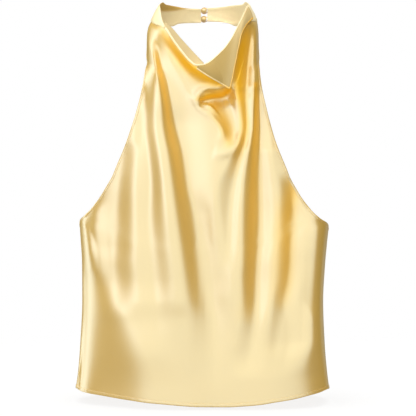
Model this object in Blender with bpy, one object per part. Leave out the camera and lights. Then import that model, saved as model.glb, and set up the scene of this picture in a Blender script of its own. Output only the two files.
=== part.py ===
"""Halter neck top in satin, hollow, as worn.

Metres, +Z up, the front faces -Y.  The origin is the centre of the neckband's
ring, where the neck carries the top.

The front and the back are walls through horizontal rings.  A ring starts at
the centre front (0 degrees), passes the side (90) and ends at the centre back
(180); negative angles run to -X.  The front's upper rings sag towards the
cowl.  Widths and heights of the front are those of its front elevation, seen
from EYE_DISTANCE; `place` carries them to the depth of the cloth.
"""
import math

import bmesh
import bpy
import numpy as np
from mathutils import Matrix, Vector

MM = 0.001

# ---------------------------------------------------------------- main sizes
EYE_DISTANCE = 2.000       # the elevation's eye, in front of the side seams
EYE_HEIGHT = -0.280        # and at mid height of the garment
WALL = 1.2 * MM            # cloth, with its turnings
GAP = 0.4 * MM             # between neighbours at a seam
HEM_Z = -541 * MM          # hem at the side seams
UNDERARM_Z = -303 * MM     # top of the side seams
SEAM_Z = -9.4 * MM         # the front's top, where the neckband is sewn on
HEM_DROP = 12 * MM         # the hem hangs lower at the centre front
BACK_DIP = 22 * MM         # the back's top edge dips at the centre
BUTTON_RADIUS = 3.9 * MM
SHANK_RADIUS = 0.8 * MM
LOOP_RADIUS = 0.65 * MM
LOOP_RING = 4.4 * MM       # centre line of a loop round its button
LOOP_BEHIND = 2.2 * MM     # a loop lies outside its button's middle
LOOP_END = 8.2 * MM        # and is sewn to the outside of its band up to there

SIDE_GAP = 0.7 * MM        # at the side seams

FRONT_COLUMNS = 46
COLUMN_POWER = 1.5         # over 1, columns are closer in the middle
FRONT_ROWS_BODY = 11       # below the underarm
FRONT_ROWS_CHEST = 7       # up to CHEST_Z
FRONT_ROWS_COWL = 18       # up to the neckline
CHEST_Z = -190 * MM
BACK_COLUMNS = 26
BACK_ROWS = 10

# Front rings, in mm.  height: of the ring's ends.  ring_l, ring_r: half
# widths.  edge_l, edge_r: half widths of the cloth, less than the ring's
# where the armhole cuts in.  past: degrees that the cloth runs on behind the
# side.  depth: forward of the side seams.  square: 2 is an ellipse.
# lean: how much lower the ring ends on the +X side.
RINGS = (
    # name        height ring_l ring_r edge_l edge_r past depth square lean
    ("hem",        -541, 185.7, 181.6, 185.7, 181.6,  0, 100.0, 4.0,  0.0),
    ("hem_turn",   -519, 182.7, 178.8, 182.7, 178.8,  0, 100.9, 4.0,  0.0),
    ("hip",        -478, 179.4, 175.2, 179.4, 175.2,  0, 102.3, 4.0,  0.0),
    ("waist",      -413, 176.5, 172.8, 176.5, 172.8,  0, 104.0, 4.0,  0.0),
    ("ribs",       -358, 176.9, 175.6, 176.9, 175.6,  0, 104.9, 4.0, -1.0),
    ("chest",      -326, 178.8, 178.4, 178.8, 178.4,  0, 105.2, 4.0, -3.0),
    ("underarm",   -303, 180.0, 180.4, 180.0, 180.4,  0, 105.2, 4.0, -5.0),
    ("armhole_1",  -291, 179.6, 180.0, 172.3, 169.0,  0, 105.1, 3.95, -5.0),
    ("armhole_2",  -280, 179.0, 179.4, 161.2, 156.0,  0, 105.0, 3.9, -4.5),
    ("armhole_3",  -257, 176.0, 176.0, 144.6, 137.3,  0, 104.6, 3.75, -3.5),
    ("armhole_4",  -233, 169.0, 168.0, 130.6, 123.2,  0, 103.9, 3.6, -2.5),
    ("armhole_5",  -199, 154.0, 152.0, 115.8, 108.2,  0, 102.3, 3.35, -1.5),
    ("armhole_6",  -164, 136.0, 132.0, 103.0,  96.3,  0, 99.8, 3.2, -0.7),
    ("armhole_7",  -135, 116.0, 112.0,  94.3,  88.7,  0, 97.2, 3.2,  0.0),
    ("armhole_8",  -109, 100.5,  96.5,  88.5,  83.2,  0, 94.5, 3.25, 0.0),
    ("armhole_9",   -88,  89.5,  86.0,  85.0,  80.9,  0, 92.1, 3.35, 0.0),
    ("notch",       -74,  83.0,  80.6,  82.3,  79.9,  0, 90.6, 3.4,  0.0),
    ("neck_side",   -51,  83.1,  79.5,  83.1,  79.5,  8, 88.3, 3.3,  0.0),
    ("shoulder",    -30,  82.7,  79.2,  82.7,  79.2, 14, 86.5, 2.8,  0.0),
    ("shoulder_2",  -17,  80.5,  78.2,  80.5,  78.2, 16, 85.5, 2.4,  0.0),
    ("band_seam",  -9.4,  76.9,  77.1,  76.9,  77.1, 17,  85, 2.0,  0.0),
)
NECK_BACK_DEPTH = 68       # mm, ring behind the side at the neck
BAND_BACK_DEPTH = 63.5     # mm, the band's foot there: it stands upright

# Neckline and band seams along the top ring: degrees, height in mm.
NECKLINE = (
    (-107, -9.4), (-90, -9.8), (-68, -13.5), (-46, -19.9), (-35.1, -36.3),
    (-23.3, -54.5), (-15.3, -66.3), (-7.6, -72.9), (0, -72.2), (10.8, -63.5),
    (21.8, -50.3), (31, -35.1), (39.8, -17.1), (44, -9.4), (52, -8.4),
    (90, -9.4), (107, -9.4),
)
NECKLINE_LEFT, NECKLINE_RIGHT = -46.0, 44.0

# The front hem: x and height of its lower edge.
HEM_LINE = (
    (-186, -539.5), (-172, -547.0), (-148, -551.5), (-104, -559), (-56, -564.6),
    (-8, -568.2), (35, -568.4), (81, -565.3), (128, -557.5), (168, -547.0),
    (182, -541.0))

# Long folds as steps across the front: height and x of a step's middle, how far
# the cloth comes forward there, going to +X (+), or falls back (-), and the
# step's width.  The left steps move the cloth on their left, the right ones
# that on their right, so the middle of the front keeps its place.
LEFT_STEPS = {
    "edge_fall": (
        (-262, -171, 0, 10), (-285, -171, -6, 10), (-300, -171, -7, 11),
        (-320, -168, -8, 18), (-340, -165, -8, 24), (-365, -164, -4, 26),
        (-384, -163, 0, 26)),
    "arm_edge_fall": (
        (-92, -88, 0, 14), (-109, -90, -4, 16), (-126, -94, -5, 18),
        (-144, -96, -4.5, 18), (-161, -97, -3.5, 18), (-181, -97, -2, 16),
        (-198, -96, 0, 14)),
    "side_rise": (
        (-175, -104, 0, 18), (-203, -106.5, 4, 23), (-225, -109, 6, 27),
        (-247, -111.5, 8, 30), (-290, -113, 10.5, 34), (-333, -113, 10.5, 36),
        (-358, -114, 9, 36), (-384, -111.7, 8, 36), (-413, -110, 5, 36),
        (-442, -110, 0, 36)),
    "under_arm_fall": (
        (-268, -146, 0, 24), (-290, -152, -4.5, 28), (-333, -153, -5.5, 30),
        (-365, -150, -3.5, 30), (-400, -148, 0, 30)),
    "lower_left_rise": (
        (-365, -152, 0, 34), (-384, -151, 1.5, 36), (-413, -148, 5, 42),
        (-442, -138, 10, 60), (-471, -130, 15, 76), (-500, -124, 19, 88),
        (-529, -119, 21, 96), (-545, -118, 21.5, 98)),
    "lower_left_slope": (
        (-300, -105, 0, 70), (-413, -105, 2, 80), (-471, -100, 4, 96),
        (-545, -90, 7, 118)),
    "shoulder_rise": (
        (-50, -81, 0, 12), (-74, -79, 1.5, 12), (-91, -77.5, 2.5, 13),
        (-126, -77.5, 3.5, 16), (-161, -77, 5, 19), (-203, -71.5, 8.5, 23),
        (-247, -67.5, 11, 26), (-290, -66.2, 12.5, 33), (-333, -62.5, 11.5, 36),
        (-384, -56.6, 11, 38), (-442, -53.6, 6, 38), (-500, -50, 0, 40)),
    "shoulder_fall": (
        (-20, -79, 0, 16), (-39, -75, -10, 16), (-57, -69.3, -14, 13),
        (-74, -65.8, -15.5, 12), (-91, -61.5, -17, 15), (-126, -55.4, -16.5, 20),
        (-161, -50.3, -17.5, 26), (-203, -40.8, -19, 30), (-247, -34.2, -19.5, 33),
        (-290, -27.8, -20.5, 36), (-333, -21.5, -20.5, 37), (-384, -14.4, -20, 40),
        (-413, -10, -19, 43), (-442, -4.8, -14, 46), (-471, -3, -10.5, 50),
        (-505, -2, -7, 54), (-545, 0, -4.5, 58)),
    "centre_rise": (
        (-60, -45, 0, 36), (-91, -32, 2, 50), (-126, -24, 6, 62),
        (-161, -14, 11, 62), (-203, -6, 10, 58), (-247, -3, 10, 54),
        (-290, 8, 11, 40), (-333, 15, 12, 38), (-384, 22, 12, 42),
        (-413, 26, 11, 44), (-442, 30, 9, 46), (-471, 32, 6.5, 50),
        (-505, 32, 4, 54), (-545, 32, 2.5, 58)),
}

RIGHT_STEPS = {
    "hollow_fall": (
        (-102, 22, 0, 26), (-114, 22, -6, 28), (-126, 23, -10, 31),
        (-144, 26, -12, 32), (-161, 33, -10, 26), (-181, 38, -5.5, 18),
        (-200, 42, 0, 12)),
    "curl_rise": (
        (-103, 42, 0, 12), (-126, 44, 3, 13), (-144, 47, 3.2, 13),
        (-161, 49, 2.6, 13), (-181, 46.5, 1.2, 13), (-200, 42, 0, 12)),
    "middle_fall": (
        (-6, 64, 0, 16), (-22, 60, -9, 17), (-39, 56, -14, 24),
        (-57, 51.5, -17, 30), (-74, 49, -17, 32), (-91, 49, -15, 31),
        (-109, 52, -9.5, 24), (-126, 56, -5, 14), (-144, 58, -4.5, 12),
        (-161, 59.5, -4.5, 11), (-181, 57, -5, 13), (-203, 48.5, -7.5, 18),
        (-225, 40, -9, 26), (-247, 33, -9.5, 31), (-268, 30, -9, 32),
        (-290, 28, -8.5, 32), (-333, 27, -6.5, 32), (-358, 26, -4, 30),
        (-384, 23, -2, 26), (-413, 22, 0, 26)),
    "middle_rise": (
        (-8, 74, 0, 10), (-22, 72.5, 9, 11), (-39, 71.5, 14.5, 12),
        (-57, 70, 16, 14), (-74, 69, 14.5, 15), (-91, 68, 10.5, 15),
        (-109, 67, 8, 15), (-126, 66.8, 6, 14), (-144, 67.2, 4.9, 13),
        (-161, 66.8, 4.4, 13), (-181, 64.5, 4, 13), (-203, 58.5, 4.2, 15),
        (-225, 53, 4.5, 17), (-247, 49, 5, 19), (-290, 44, 5.5, 21),
        (-333, 42, 5.5, 22), (-358, 40, 4, 24), (-384, 37, 2, 24),
        (-413, 36, 0, 24)),
    "neck_fall": (
        (-70, 77, 0, 9), (-91, 77, -2, 8), (-109, 76.5, -6, 9),
        (-126, 76.2, -9.5, 10), (-144, 76, -12, 12), (-161, 76, -14, 13),
        (-181, 74.5, -15.5, 16), (-203, 72.5, -17, 23), (-225, 71, -18.5, 29),
        (-247, 70, -20, 33), (-290, 69.5, -21.5, 34), (-333, 69, -20.5, 34),
        (-358, 68, -19, 32), (-384, 66, -17, 31), (-413, 66, -14, 30),
        (-442, 65, -10, 32), (-471, 60, -7, 36), (-500, 50, -4, 38),
        (-530, 45, 0, 38)),
    "right_rise": (
        (-88, 84, 0, 8), (-109, 84, 4, 10), (-126, 85, 6, 12),
        (-144, 86.5, 5.5, 14), (-161, 88, 5, 16), (-181, 89, 5, 19),
        (-203, 89, 8, 24), (-247, 91, 10, 30), (-290, 93, 11, 34),
        (-333, 91, 11, 34), (-358, 88, 10, 32), (-384, 88, 9, 30),
        (-413, 87, 8.5, 30), (-442, 85, 7, 30), (-471, 82, 5, 32),
        (-500, 78, 3, 34), (-530, 76, 0, 34)),
    "armhole_fall": (
        (-225, 112, 0, 16), (-247, 118, -5.5, 22), (-268, 121, -8, 27),
        (-290, 122, -10.5, 33), (-333, 121, -10, 34), (-358, 120, -10, 34),
        (-384, 117, -9, 32), (-413, 109, -7.5, 30), (-442, 101, -6, 30),
        (-471, 94, -5.6, 32), (-500, 91, -1.5, 32), (-530, 90, 0, 32)),
    "flute_rise": (
        (-250, 132, 0, 14), (-290, 138, 9.5, 22), (-333, 136, 11, 26),
        (-358, 135, 10.5, 26), (-384, 133, 10, 28), (-413, 130, 9, 34),
        (-442, 140, 12, 44), (-471, 142, 12, 44), (-500, 136, 7, 44),
        (-530, 130, 0, 44)),
    "right_edge_rise": (
        (-268, 154, 0, 28), (-290, 157.5, 12.5, 33), (-333, 158, 15, 34),
        (-384, 158, 14, 34), (-413, 157, 12, 33), (-442, 155, 8.5, 28),
        (-471, 154, 6, 28), (-505, 153, 0, 28)),
}

# Ridges (+) and troughs (-) of the cowl: x, height, size, width on the left
# of the path and on its right, in mm.
COWL_FOLDS = {
    # the turned edge of the neckline and the triangle stand proud of the cloth
    "neckline_rise": (
        (-60, -10, 0, 6, 6), (-54, -20, 5, 7, 7), (-42.7, -38, 9, 8, 8.5),
        (-30, -54, 10, 8, 9.5), (-18, -68, 10, 9, 10.5), (-9, -76, 11, 10, 12),
        (2, -83, 11, 11, 13), (14, -90, 10, 10, 12), (24, -96, 7, 8, 8),
        (31, -102, 4, 6, 5)),
    "lip": (
        (34, -108, 2, 4, 5), (24, -107.5, 3.2, 4, 5), (14, -106.5, 3.8, 4, 5),
        (5, -106.5, 3.8, 4, 5.5), (-2, -109.5, 3.6, 4, 7),
        (-7.2, -115.5, 3.4, 4, 8.5), (-8.8, -121.2, 2.8, 4.5, 8.5),
        (-5.8, -131.5, 1.9, 4, 6), (4.5, -142, 1.7, 4, 5), (15, -151, 1.7, 4, 5),
        (24, -162.5, 1.7, 5, 5), (27.3, -173, 1.6, 5, 6), (24, -184.6, 0.8, 6, 7),
        (17, -191, 0, 7, 7)),
    "pocket": (
        (2, -134, -2, 5, 6), (-2.5, -128, -6, 5, 7), (4, -124.5, -9, 5.5, 10),
        (16, -122, -10, 6, 14), (28, -120, -10, 6, 13), (36, -114, -7, 6.5, 9),
        (40, -106, -3, 6, 6)),
    "curl": (
        (51, -170, 0, 6, 6), (50, -180.7, 2, 7, 7), (43, -192.4, 3.2, 8, 8),
        (33, -199.5, 3.2, 8, 9), (23, -201, 2, 8, 9), (13, -199, 0, 8, 9)),
}

# Folds of the hidden back: x of the trough at the top and at the hem, drop
# and half width, in mm.
BACK_FOLDS = ((-118, -96, 4.0, 20), (-58, -44, 6.0, 17), (-8, -20, 4.5, 15),
              (49, 60, 5.5, 18), (112, 128, 4.0, 21))

# The neckband's two halves: degrees of the foot on the seam ring, its height,
# then x, depth and height of the top edge, in mm.  x is mirrored for -X.
# From 107 degrees on the heights are real ones.
BAND_LEFT = (
    (46, -19.9, 55.3, -59, -19.9), (56, -16.9, 59.8, -46, -12.0),
    (68, -13.5, 62.9, -31, -1.5), (80, -11.4, 64.5, -14, 11.0),
    (92, -9.8, 63.4, 1, 15.8), (107, -6.7, 60.0, 18.4, 18.3),
    (124, -9.2, 51.8, 35.2, 19.7), (141, -10.0, 39.3, 49.0, 19.3),
    (151, -5.4, 30.3, 55.1, 18.4), (163, -3.6, 18.3, 60.2, 18.0),
    (176.6, -2.9, 4.5, 62.8, 17.9))
BAND_RIGHT = (
    (44, -9.4, 53.6, -60, -9.4), (50, -8.6, 56.4, -51, -2.5),
    (60, -8.4, 59.6, -38, 4.5), (74, -8.8, 62.8, -19, 12.5),
    (90, -9.4, 64.2, -1, 15.8), (107, -6.7, 60.4, 18.4, 18.8),
    (124, -9.2, 52.0, 35.2, 20.0), (141, -10.0, 39.5, 49.0, 20.7),
    (151, -5.0, 30.3, 55.1, 20.2), (163, -2.0, 18.3, 60.2, 19.6),
    (176.4, -0.9, 4.8, 62.8, 19.2))
BAND_COLUMNS = 20
BAND_SEAM_GAP = 0.9 * MM
BAND_ROWS = 2

# Facing turned in: neckline degrees, then x, depth and height of its free
# edge, which is pulled straight, in mm.
FACING_INNER = (
    (-45, -54.0, -34, -11.0), (-42, -48.4, -38, -16.4), (-30, -33.0, -48, -34.0),
    (-16, -17.5, -59, -51.0), (-3, -2.5, -70, -67.5))

# Facing turned out: x, height and depth on the neckline, then x, height and
# depth of its outer fold, in mm.
FACING_OUT = (
    (-9, -73.0, -86.4, -10, -76.5, -88), (0, -72.2, -87.0, -1, -82.6, -90),
    (8.7, -67.8, -86.4, 10, -89.6, -92.5), (17.4, -60.9, -85.0, 22, -96.4, -95),
    (24.6, -53.9, -82.8, 31, -102.0, -97), (30.5, -47.8, -80.4, 36.6, -105.4, -98),
    (35.5, -41.3, -77.8, 40.4, -94.3, -96), (40.6, -33.6, -74.8, 43.5, -78.3, -93.5),
    (45.7, -24.4, -71.4, 47.1, -61.6, -89), (50.7, -14.2, -67.6, 50.0, -47.1, -84),
    (55.8, -4.6, -60.5, 54.0, -29.0, -77), (60.6, 4.4, -47.0, 61.0, -14.5, -64),
    (64.8, 12.2, -24.0, 71.3, -3.5, -42))
FACING_OUT_ACROSS = 5
FACING_OUT_CLEAR = 1.8 * MM   # beyond that at the neckline

# Buttons: x and height of the ball's centre, in mm.
BUTTONS = (("upper", 0.15, 15.7), ("lower", -0.4, 3.0))
BUTTON_DEPTH = 65.0        # mm behind the side seams


# ------------------------------------------------------------------- helpers
def smooth(knots, values, at, level_ends=False):
    """Monotone cubic through (knots, values)."""
    x = np.asarray(knots, float)
    y = np.asarray(values, float)
    at = np.clip(np.asarray(at, float), x[0], x[-1])
    h = np.diff(x)
    d = np.diff(y) / h
    m = np.zeros(len(x))
    if not level_ends:
        m[0], m[-1] = d[0], d[-1]
    for i in range(1, len(x) - 1):
        if d[i - 1] * d[i] > 0:
            w1, w2 = 2 * h[i] + h[i - 1], h[i] + 2 * h[i - 1]
            m[i] = (w1 + w2) / (w1 / d[i - 1] + w2 / d[i])
    i = np.clip(np.searchsorted(x, at, side="right") - 1, 0, len(h) - 1)
    t = (at - x[i]) / h[i]
    return ((2 * t**3 - 3 * t**2 + 1) * y[i] + (t**3 - 2 * t**2 + t) * h[i] * m[i]
            + (-2 * t**3 + 3 * t**2) * y[i + 1] + (t**3 - t**2) * h[i] * m[i + 1])


def ease(t):
    t = np.clip(t, 0.0, 1.0)
    return t * t * (3 - 2 * t)


def column(table, i):
    return [row[i] for row in table]


def place(x, depth, height):
    """From the front elevation to the cloth's own depth."""
    k = 1 + depth / EYE_DISTANCE
    return np.stack([x * k, depth + 0 * x,
                     EYE_HEIGHT + (height - EYE_HEIGHT) * k], axis=-1)


def seen_height(real, depth):
    return EYE_HEIGHT + (real - EYE_HEIGHT) / (1 + depth / EYE_DISTANCE)


def ring_sizes(height):
    """Half widths, wrap angles, depth, squareness and lean at a height."""
    knots = column(RINGS, 1)
    at = np.asarray(height) / MM
    out = {}
    for key, i in (("left", 2), ("right", 3), ("depth", 7), ("square", 8),
                   ("lean", 9)):
        out[key] = smooth(knots, column(RINGS, i), at)
    for key, ring, edge in (("wrap_left", 2, 4), ("wrap_right", 3, 5)):
        wraps = []
        for row in RINGS:
            share = min(row[edge] / row[ring], 1.0)
            wraps.append(math.degrees(math.asin(share ** (row[8] / 2)))
                         + row[6])
        out[key] = smooth(knots, wraps, at)
    return out


def ring_point(degrees, left, right, depth, back, square):
    """x and depth of a ring point, and its outward direction."""
    a = np.radians(degrees)
    s, c = np.sin(a), np.cos(a)
    power = 2.0 / square
    half = np.where(degrees < 0, left, right)
    x = half * np.sign(s) * np.abs(s) ** power
    y = np.where(c >= 0, -depth * np.abs(c) ** power,
                 back * np.abs(c) ** power)
    return x, y


def long_folds(x, height):
    """How far the long folds stand off the ring in the elevation, in metres."""
    total = np.zeros_like(x)
    at = height / MM
    for steps, start in ((LEFT_STEPS, -1.0), (RIGHT_STEPS, 0.0)):
        for rows in steps.values():
            rows = sorted(rows)
            inside = at <= rows[-1][0]
            if rows[0][0] > HEM_Z / MM:
                inside &= at >= rows[0][0]
            mid, change, width = (smooth(column(rows, 0), column(rows, i), at, True)
                                  for i in (1, 2, 3))
            step = ease((x / MM - mid) / width + 0.5) + start
            total += np.where(inside, change * step, 0.0)
    return total * MM


def cowl_folds(x, height):
    """Ridges and troughs along free paths, in metres."""
    total = np.zeros_like(x)
    px, pz = x / MM, height / MM
    for rows in COWL_FOLDS.values():
        best = np.full(x.shape, 1e9)
        value = np.zeros_like(x)
        for a, b in zip(rows[:-1], rows[1:]):
            ax, az, bx, bz = a[0], a[1], b[0], b[1]
            ux, uz = bx - ax, bz - az
            length = math.hypot(ux, uz)
            t = np.clip(((px - ax) * ux + (pz - az) * uz) / length**2, 0, 1)
            dx, dz = px - ax - t * ux, pz - az - t * uz
            d = np.hypot(dx, dz)
            # the left of a path is the side on the left when walking along it
            side = ux * dz - uz * dx
            left = a[3] + (b[3] - a[3]) * t
            right = a[4] + (b[4] - a[4]) * t
            width = np.where(side > 0, left, right)
            size = a[2] + (b[2] - a[2]) * t
            near = d < best
            value = np.where(near, size * np.exp(-(d / width) ** 2), value)
            best = np.where(near, d, best)
        total += value
    return total * MM


SOFT_DEGREES = np.linspace(-107, 107, 857)


def soft_neckline():
    """The neckline with its corners smoothed, for the depth of the cloth."""
    line = smooth(column(NECKLINE, 0), column(NECKLINE, 1), SOFT_DEGREES)
    bell = np.exp(-(np.arange(-120, 121) / 40.0) ** 2)
    return np.convolve(np.pad(line, 120, "edge"), bell / bell.sum(), "valid")


SOFT_NECKLINE = soft_neckline()


def front_shape(s, height):
    """The front's outer face as x, depth and height of its front elevation;
    s is -1 to 1 between its edges."""
    ring = ring_sizes(height)
    wrap = np.where(s < 0, ring["wrap_left"], ring["wrap_right"])
    degrees = s * wrap
    x, y = ring_point(degrees, ring["left"], ring["right"], ring["depth"],
                      NECK_BACK_DEPTH, ring["square"])
    x, y = x * MM, y * MM
    top = ring_sizes(np.full_like(height, SEAM_Z))
    top_deg = s * np.where(s < 0, top["wrap_left"], top["wrap_right"])
    neck = smooth(column(NECKLINE, 0), column(NECKLINE, 1), top_deg) * MM
    soft = np.interp(top_deg, SOFT_DEGREES, SOFT_NECKLINE) * MM
    beside = neck - soft
    _, top_y = ring_point(top_deg, top["left"], top["right"], top["depth"],
                          NECK_BACK_DEPTH, top["square"])
    neck = EYE_HEIGHT + (neck - EYE_HEIGHT) * (1 + top_y * MM / EYE_DISTANCE)
    share = (height - HEM_Z) / (SEAM_Z - HEM_Z)
    z = height + share * (neck - SEAM_Z)
    foot = ring_sizes(np.full_like(height, HEM_Z))
    foot_x, foot_y = ring_point(s * 90.0, foot["left"], foot["right"], foot["depth"],
                                NECK_BACK_DEPTH, foot["square"])
    line = smooth(column(HEM_LINE, 0), column(HEM_LINE, 1), foot_x) * MM
    line = EYE_HEIGHT + (line - EYE_HEIGHT) * (1 + foot_y * MM / EYE_DISTANCE)
    z += (line - HEM_Z) * np.clip(1 - share, 0, 1) ** 3
    z += ring["lean"] * MM * ease((s + 1) / 2)
    seen = seen_height(z, y)
    level = ring_sizes(np.clip(height + share * beside, HEM_Z, SEAM_Z))
    r = np.abs(x) / MM / np.where(s < 0, level["left"], level["right"])
    r = np.clip(r, 0, 0.999)
    square = level["square"]
    soft_y = -level["depth"] * MM * (1 - r ** square) ** (1 / square)
    y = y + ease((0.93 - r) / 0.15) * (soft_y - y)
    fold = long_folds(x, seen) + cowl_folds(x, seen)
    ahead = ease(np.cos(np.radians(degrees)) / 0.38)
    return x, y - fold * ahead, seen


def front_surface(s, height):
    """The front's outer face in its place."""
    return place(*front_shape(s, height))


def front_depth(x, seen):
    """Depth of the front's face at places of its front elevation, by Newton's
    steps from a first guess."""
    x, seen = np.asarray(x, float), np.asarray(seen, float)
    s, h = np.clip(x / (100 * MM), -0.9, 0.9), seen + 30 * MM
    for _ in range(14):
        s, h = np.clip(s, -0.99, 0.99), np.clip(h, -0.4, SEAM_Z)
        x0, _, z0 = front_shape(s, h)
        x1, _, z1 = front_shape(s + 1e-3, h)
        x2, _, z2 = front_shape(s, h - 1 * MM)
        xs, zs, xh, zh = ((x1 - x0) / 1e-3, (z1 - z0) / 1e-3,
                          (x0 - x2) / MM, (z0 - z2) / MM)
        det = xs * zh - xh * zs
        det = np.where(np.abs(det) < 1e-4, 1e-4, det)
        dx, dz = x - x0, seen - z0
        s = s + np.clip((dx * zh - dz * xh) / det, -0.15, 0.15)
        h = h + np.clip((dz * xs - dx * zs) / det, -20 * MM, 20 * MM)
    return front_shape(np.clip(s, -0.99, 0.99), np.clip(h, -0.4, SEAM_Z))[1]


def row_heights(fine=1):
    low = np.linspace(HEM_Z, UNDERARM_Z, FRONT_ROWS_BODY * fine + 1)
    mid = np.linspace(UNDERARM_Z, CHEST_Z, FRONT_ROWS_CHEST * fine + 1)
    high = np.linspace(CHEST_Z, SEAM_Z, FRONT_ROWS_COWL * fine + 1)
    return np.concatenate([low, mid[1:], high[1:]])


def column_shares(count):
    """Closer together over the cowl."""
    t = np.linspace(-1, 1, count + 1)
    return np.sign(t) * np.abs(t) ** COLUMN_POWER


def mesh_object(name, mesh):
    mesh.update()
    obj = bpy.data.objects.new(name, mesh)
    bpy.context.scene.collection.objects.link(obj)
    return obj


def sheet(name, grid):
    """A quad sheet through a grid of points; its face looks towards the side
    from which rows run up and columns run right."""
    rows, cols = grid.shape[:2]
    bm = bmesh.new()
    verts = [[bm.verts.new(grid[i, j]) for j in range(cols)]
             for i in range(rows)]
    for i in range(rows - 1):
        for j in range(cols - 1):
            bm.faces.new((verts[i][j], verts[i][j + 1], verts[i + 1][j + 1],
                          verts[i + 1][j]))
    mesh = bpy.data.meshes.new(name)
    bm.normal_update()
    bm.to_mesh(mesh)
    bm.free()
    mesh.shade_smooth()
    return mesh_object(name, mesh)


def wall(obj, thickness=WALL):
    """Turn a sheet into a wall, inwards from its face."""
    solid = obj.modifiers.new("Wall", "SOLIDIFY")
    solid.thickness = thickness
    solid.offset = -1.0
    solid.use_even_offset = False
    solid.use_quality_normals = True
    solid.use_rim = True
    return obj


def material(name, colour, roughness, metallic=0.0):
    m = bpy.data.materials.new(name)
    m.use_nodes = True
    shader = m.node_tree.nodes["Principled BSDF"]
    shader.inputs["Base Color"].default_value = (*colour, 1.0)
    shader.inputs["Roughness"].default_value = roughness
    shader.inputs["Metallic"].default_value = metallic
    m.diffuse_color = (*colour, 1.0)
    return m


# -------------------------------------------------------------------- pieces
def make_front():
    heights = row_heights()
    shares = column_shares(FRONT_COLUMNS)
    s, h = np.meshgrid(shares, heights)
    grid = front_surface(s, h)
    grid[..., 1] -= SIDE_GAP / 2
    return wall(sheet("front_panel", grid))


def back_point(degrees, height, top):
    """The back's outer face, 90 to 270 degrees from the centre front."""
    knots = column(RINGS, 1)
    at = height / MM
    left = smooth(knots, column(RINGS, 2), at)
    right = smooth(knots, column(RINGS, 3), at)
    depth = smooth((-541, -478, -413, -358, -303), (106, 101, 94, 95, 99), at)
    square = 2.2
    a = np.radians(degrees)
    power = 2.0 / square
    half = np.where(np.sin(a) < 0, left, right)
    x = half * np.sign(np.sin(a)) * np.abs(np.sin(a)) ** power
    y = depth * np.abs(np.cos(a)) ** power
    t = (height - HEM_Z) / (top - HEM_Z)
    for top_x, hem_x, drop, half_width in BACK_FOLDS:
        mid = hem_x + (top_x - hem_x) * t
        y -= (drop * (1 - 0.55 * t) * np.exp(-((x - mid) / half_width) ** 2)
              * ease(-np.cos(a) / 0.4))
    return x * MM, y * MM


def make_back():
    degrees = np.linspace(90, 270, BACK_COLUMNS + 1)
    t = np.linspace(0, 1, BACK_ROWS + 1)
    d, t = np.meshgrid(degrees, t)
    middle = np.abs(np.cos(np.radians(d)))
    side_top = UNDERARM_Z - 5.0 * MM * (270 - d) / 180
    top = side_top - BACK_DIP * ease(middle)
    bottom = HEM_Z - 0.35 * HEM_DROP * middle
    z = bottom + (top - bottom) * t
    level = HEM_Z + (UNDERARM_Z - HEM_Z) * t
    x, y = back_point(d, level, UNDERARM_Z)
    grid = np.stack([x, y + SIDE_GAP / 2, z], axis=-1)
    return wall(sheet("back_panel", grid))


def band_grid(rows, side, columns):
    """One half of the neckband, from its front tip to the centre back."""
    knots = np.arange(len(rows), dtype=float)
    at = np.linspace(0.4 if side < 0 else 0.3, len(rows) - 1, columns + 1)
    foot_deg = smooth(knots, column(rows, 0), at)
    foot_z = smooth(knots, column(rows, 1), at) * MM
    top_x = smooth(knots, column(rows, 2), at) * MM
    top_y = smooth(knots, column(rows, 3), at) * MM
    top_z = smooth(knots, column(rows, 4), at) * MM
    last = RINGS[-1]
    fx, fy = ring_point(foot_deg * side, last[2], last[3], last[7],
                        NECK_BACK_DEPTH, last[8])
    fy = np.where(fy > 0, fy * BAND_BACK_DEPTH / NECK_BACK_DEPTH, fy)
    own = np.stack([fx * MM, fy * MM, foot_z], axis=-1)
    seam, _ = neckline_point(np.minimum(foot_deg, 107.0) * side)
    # on the seam as far as the front reaches, then on the band's own line
    behind = ease((foot_deg - 107) / 12)[:, None]
    foot = seam * (1 - behind) + own * behind
    foot[..., 2] += BAND_SEAM_GAP
    top = place(side * top_x, top_y, top_z)
    behind = behind[:, 0]
    top[..., 2] = top[..., 2] * (1 - behind) + top_z * behind
    top[..., 1] -= SIDE_GAP / 2 * (1 - behind)
    t = np.linspace(0, 1, BAND_ROWS + 1)[:, None, None]
    grid = foot[None] * (1 - t) + top[None] * t
    # the band bows outwards a little between its edges
    bow = 1.2 * MM * (4 * t * (1 - t))
    outward = foot * np.array([1, 1, 0])
    outward /= np.linalg.norm(outward, axis=-1, keepdims=True)
    return grid + bow * outward[None]


def make_bands():
    left = band_grid(BAND_LEFT, -1, BAND_COLUMNS)[:, ::-1]
    right = band_grid(BAND_RIGHT, 1, BAND_COLUMNS)
    return (wall(sheet("neckband_button_side", left)),
            wall(sheet("neckband_loop_side", right)))


def neckline_point(degrees):
    """A point of the front's top edge and its outward direction."""
    degrees = np.asarray(degrees, float)
    top = ring_sizes(np.full_like(degrees, SEAM_Z))
    wrap = np.where(degrees < 0, top["wrap_left"], top["wrap_right"])
    s = degrees / wrap
    here = front_surface(s, np.full_like(s, SEAM_Z))
    here[..., 1] -= SIDE_GAP / 2
    e = 1e-3
    across = (front_surface(s + e, np.full_like(s, SEAM_Z))
              - front_surface(s - e, np.full_like(s, SEAM_Z)))
    up = (front_surface(s, np.full_like(s, SEAM_Z))
          - front_surface(s, np.full_like(s, SEAM_Z - 2 * MM)))
    n = np.cross(across, up)
    n /= np.linalg.norm(n, axis=-1, keepdims=True)
    return here, n


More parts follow.
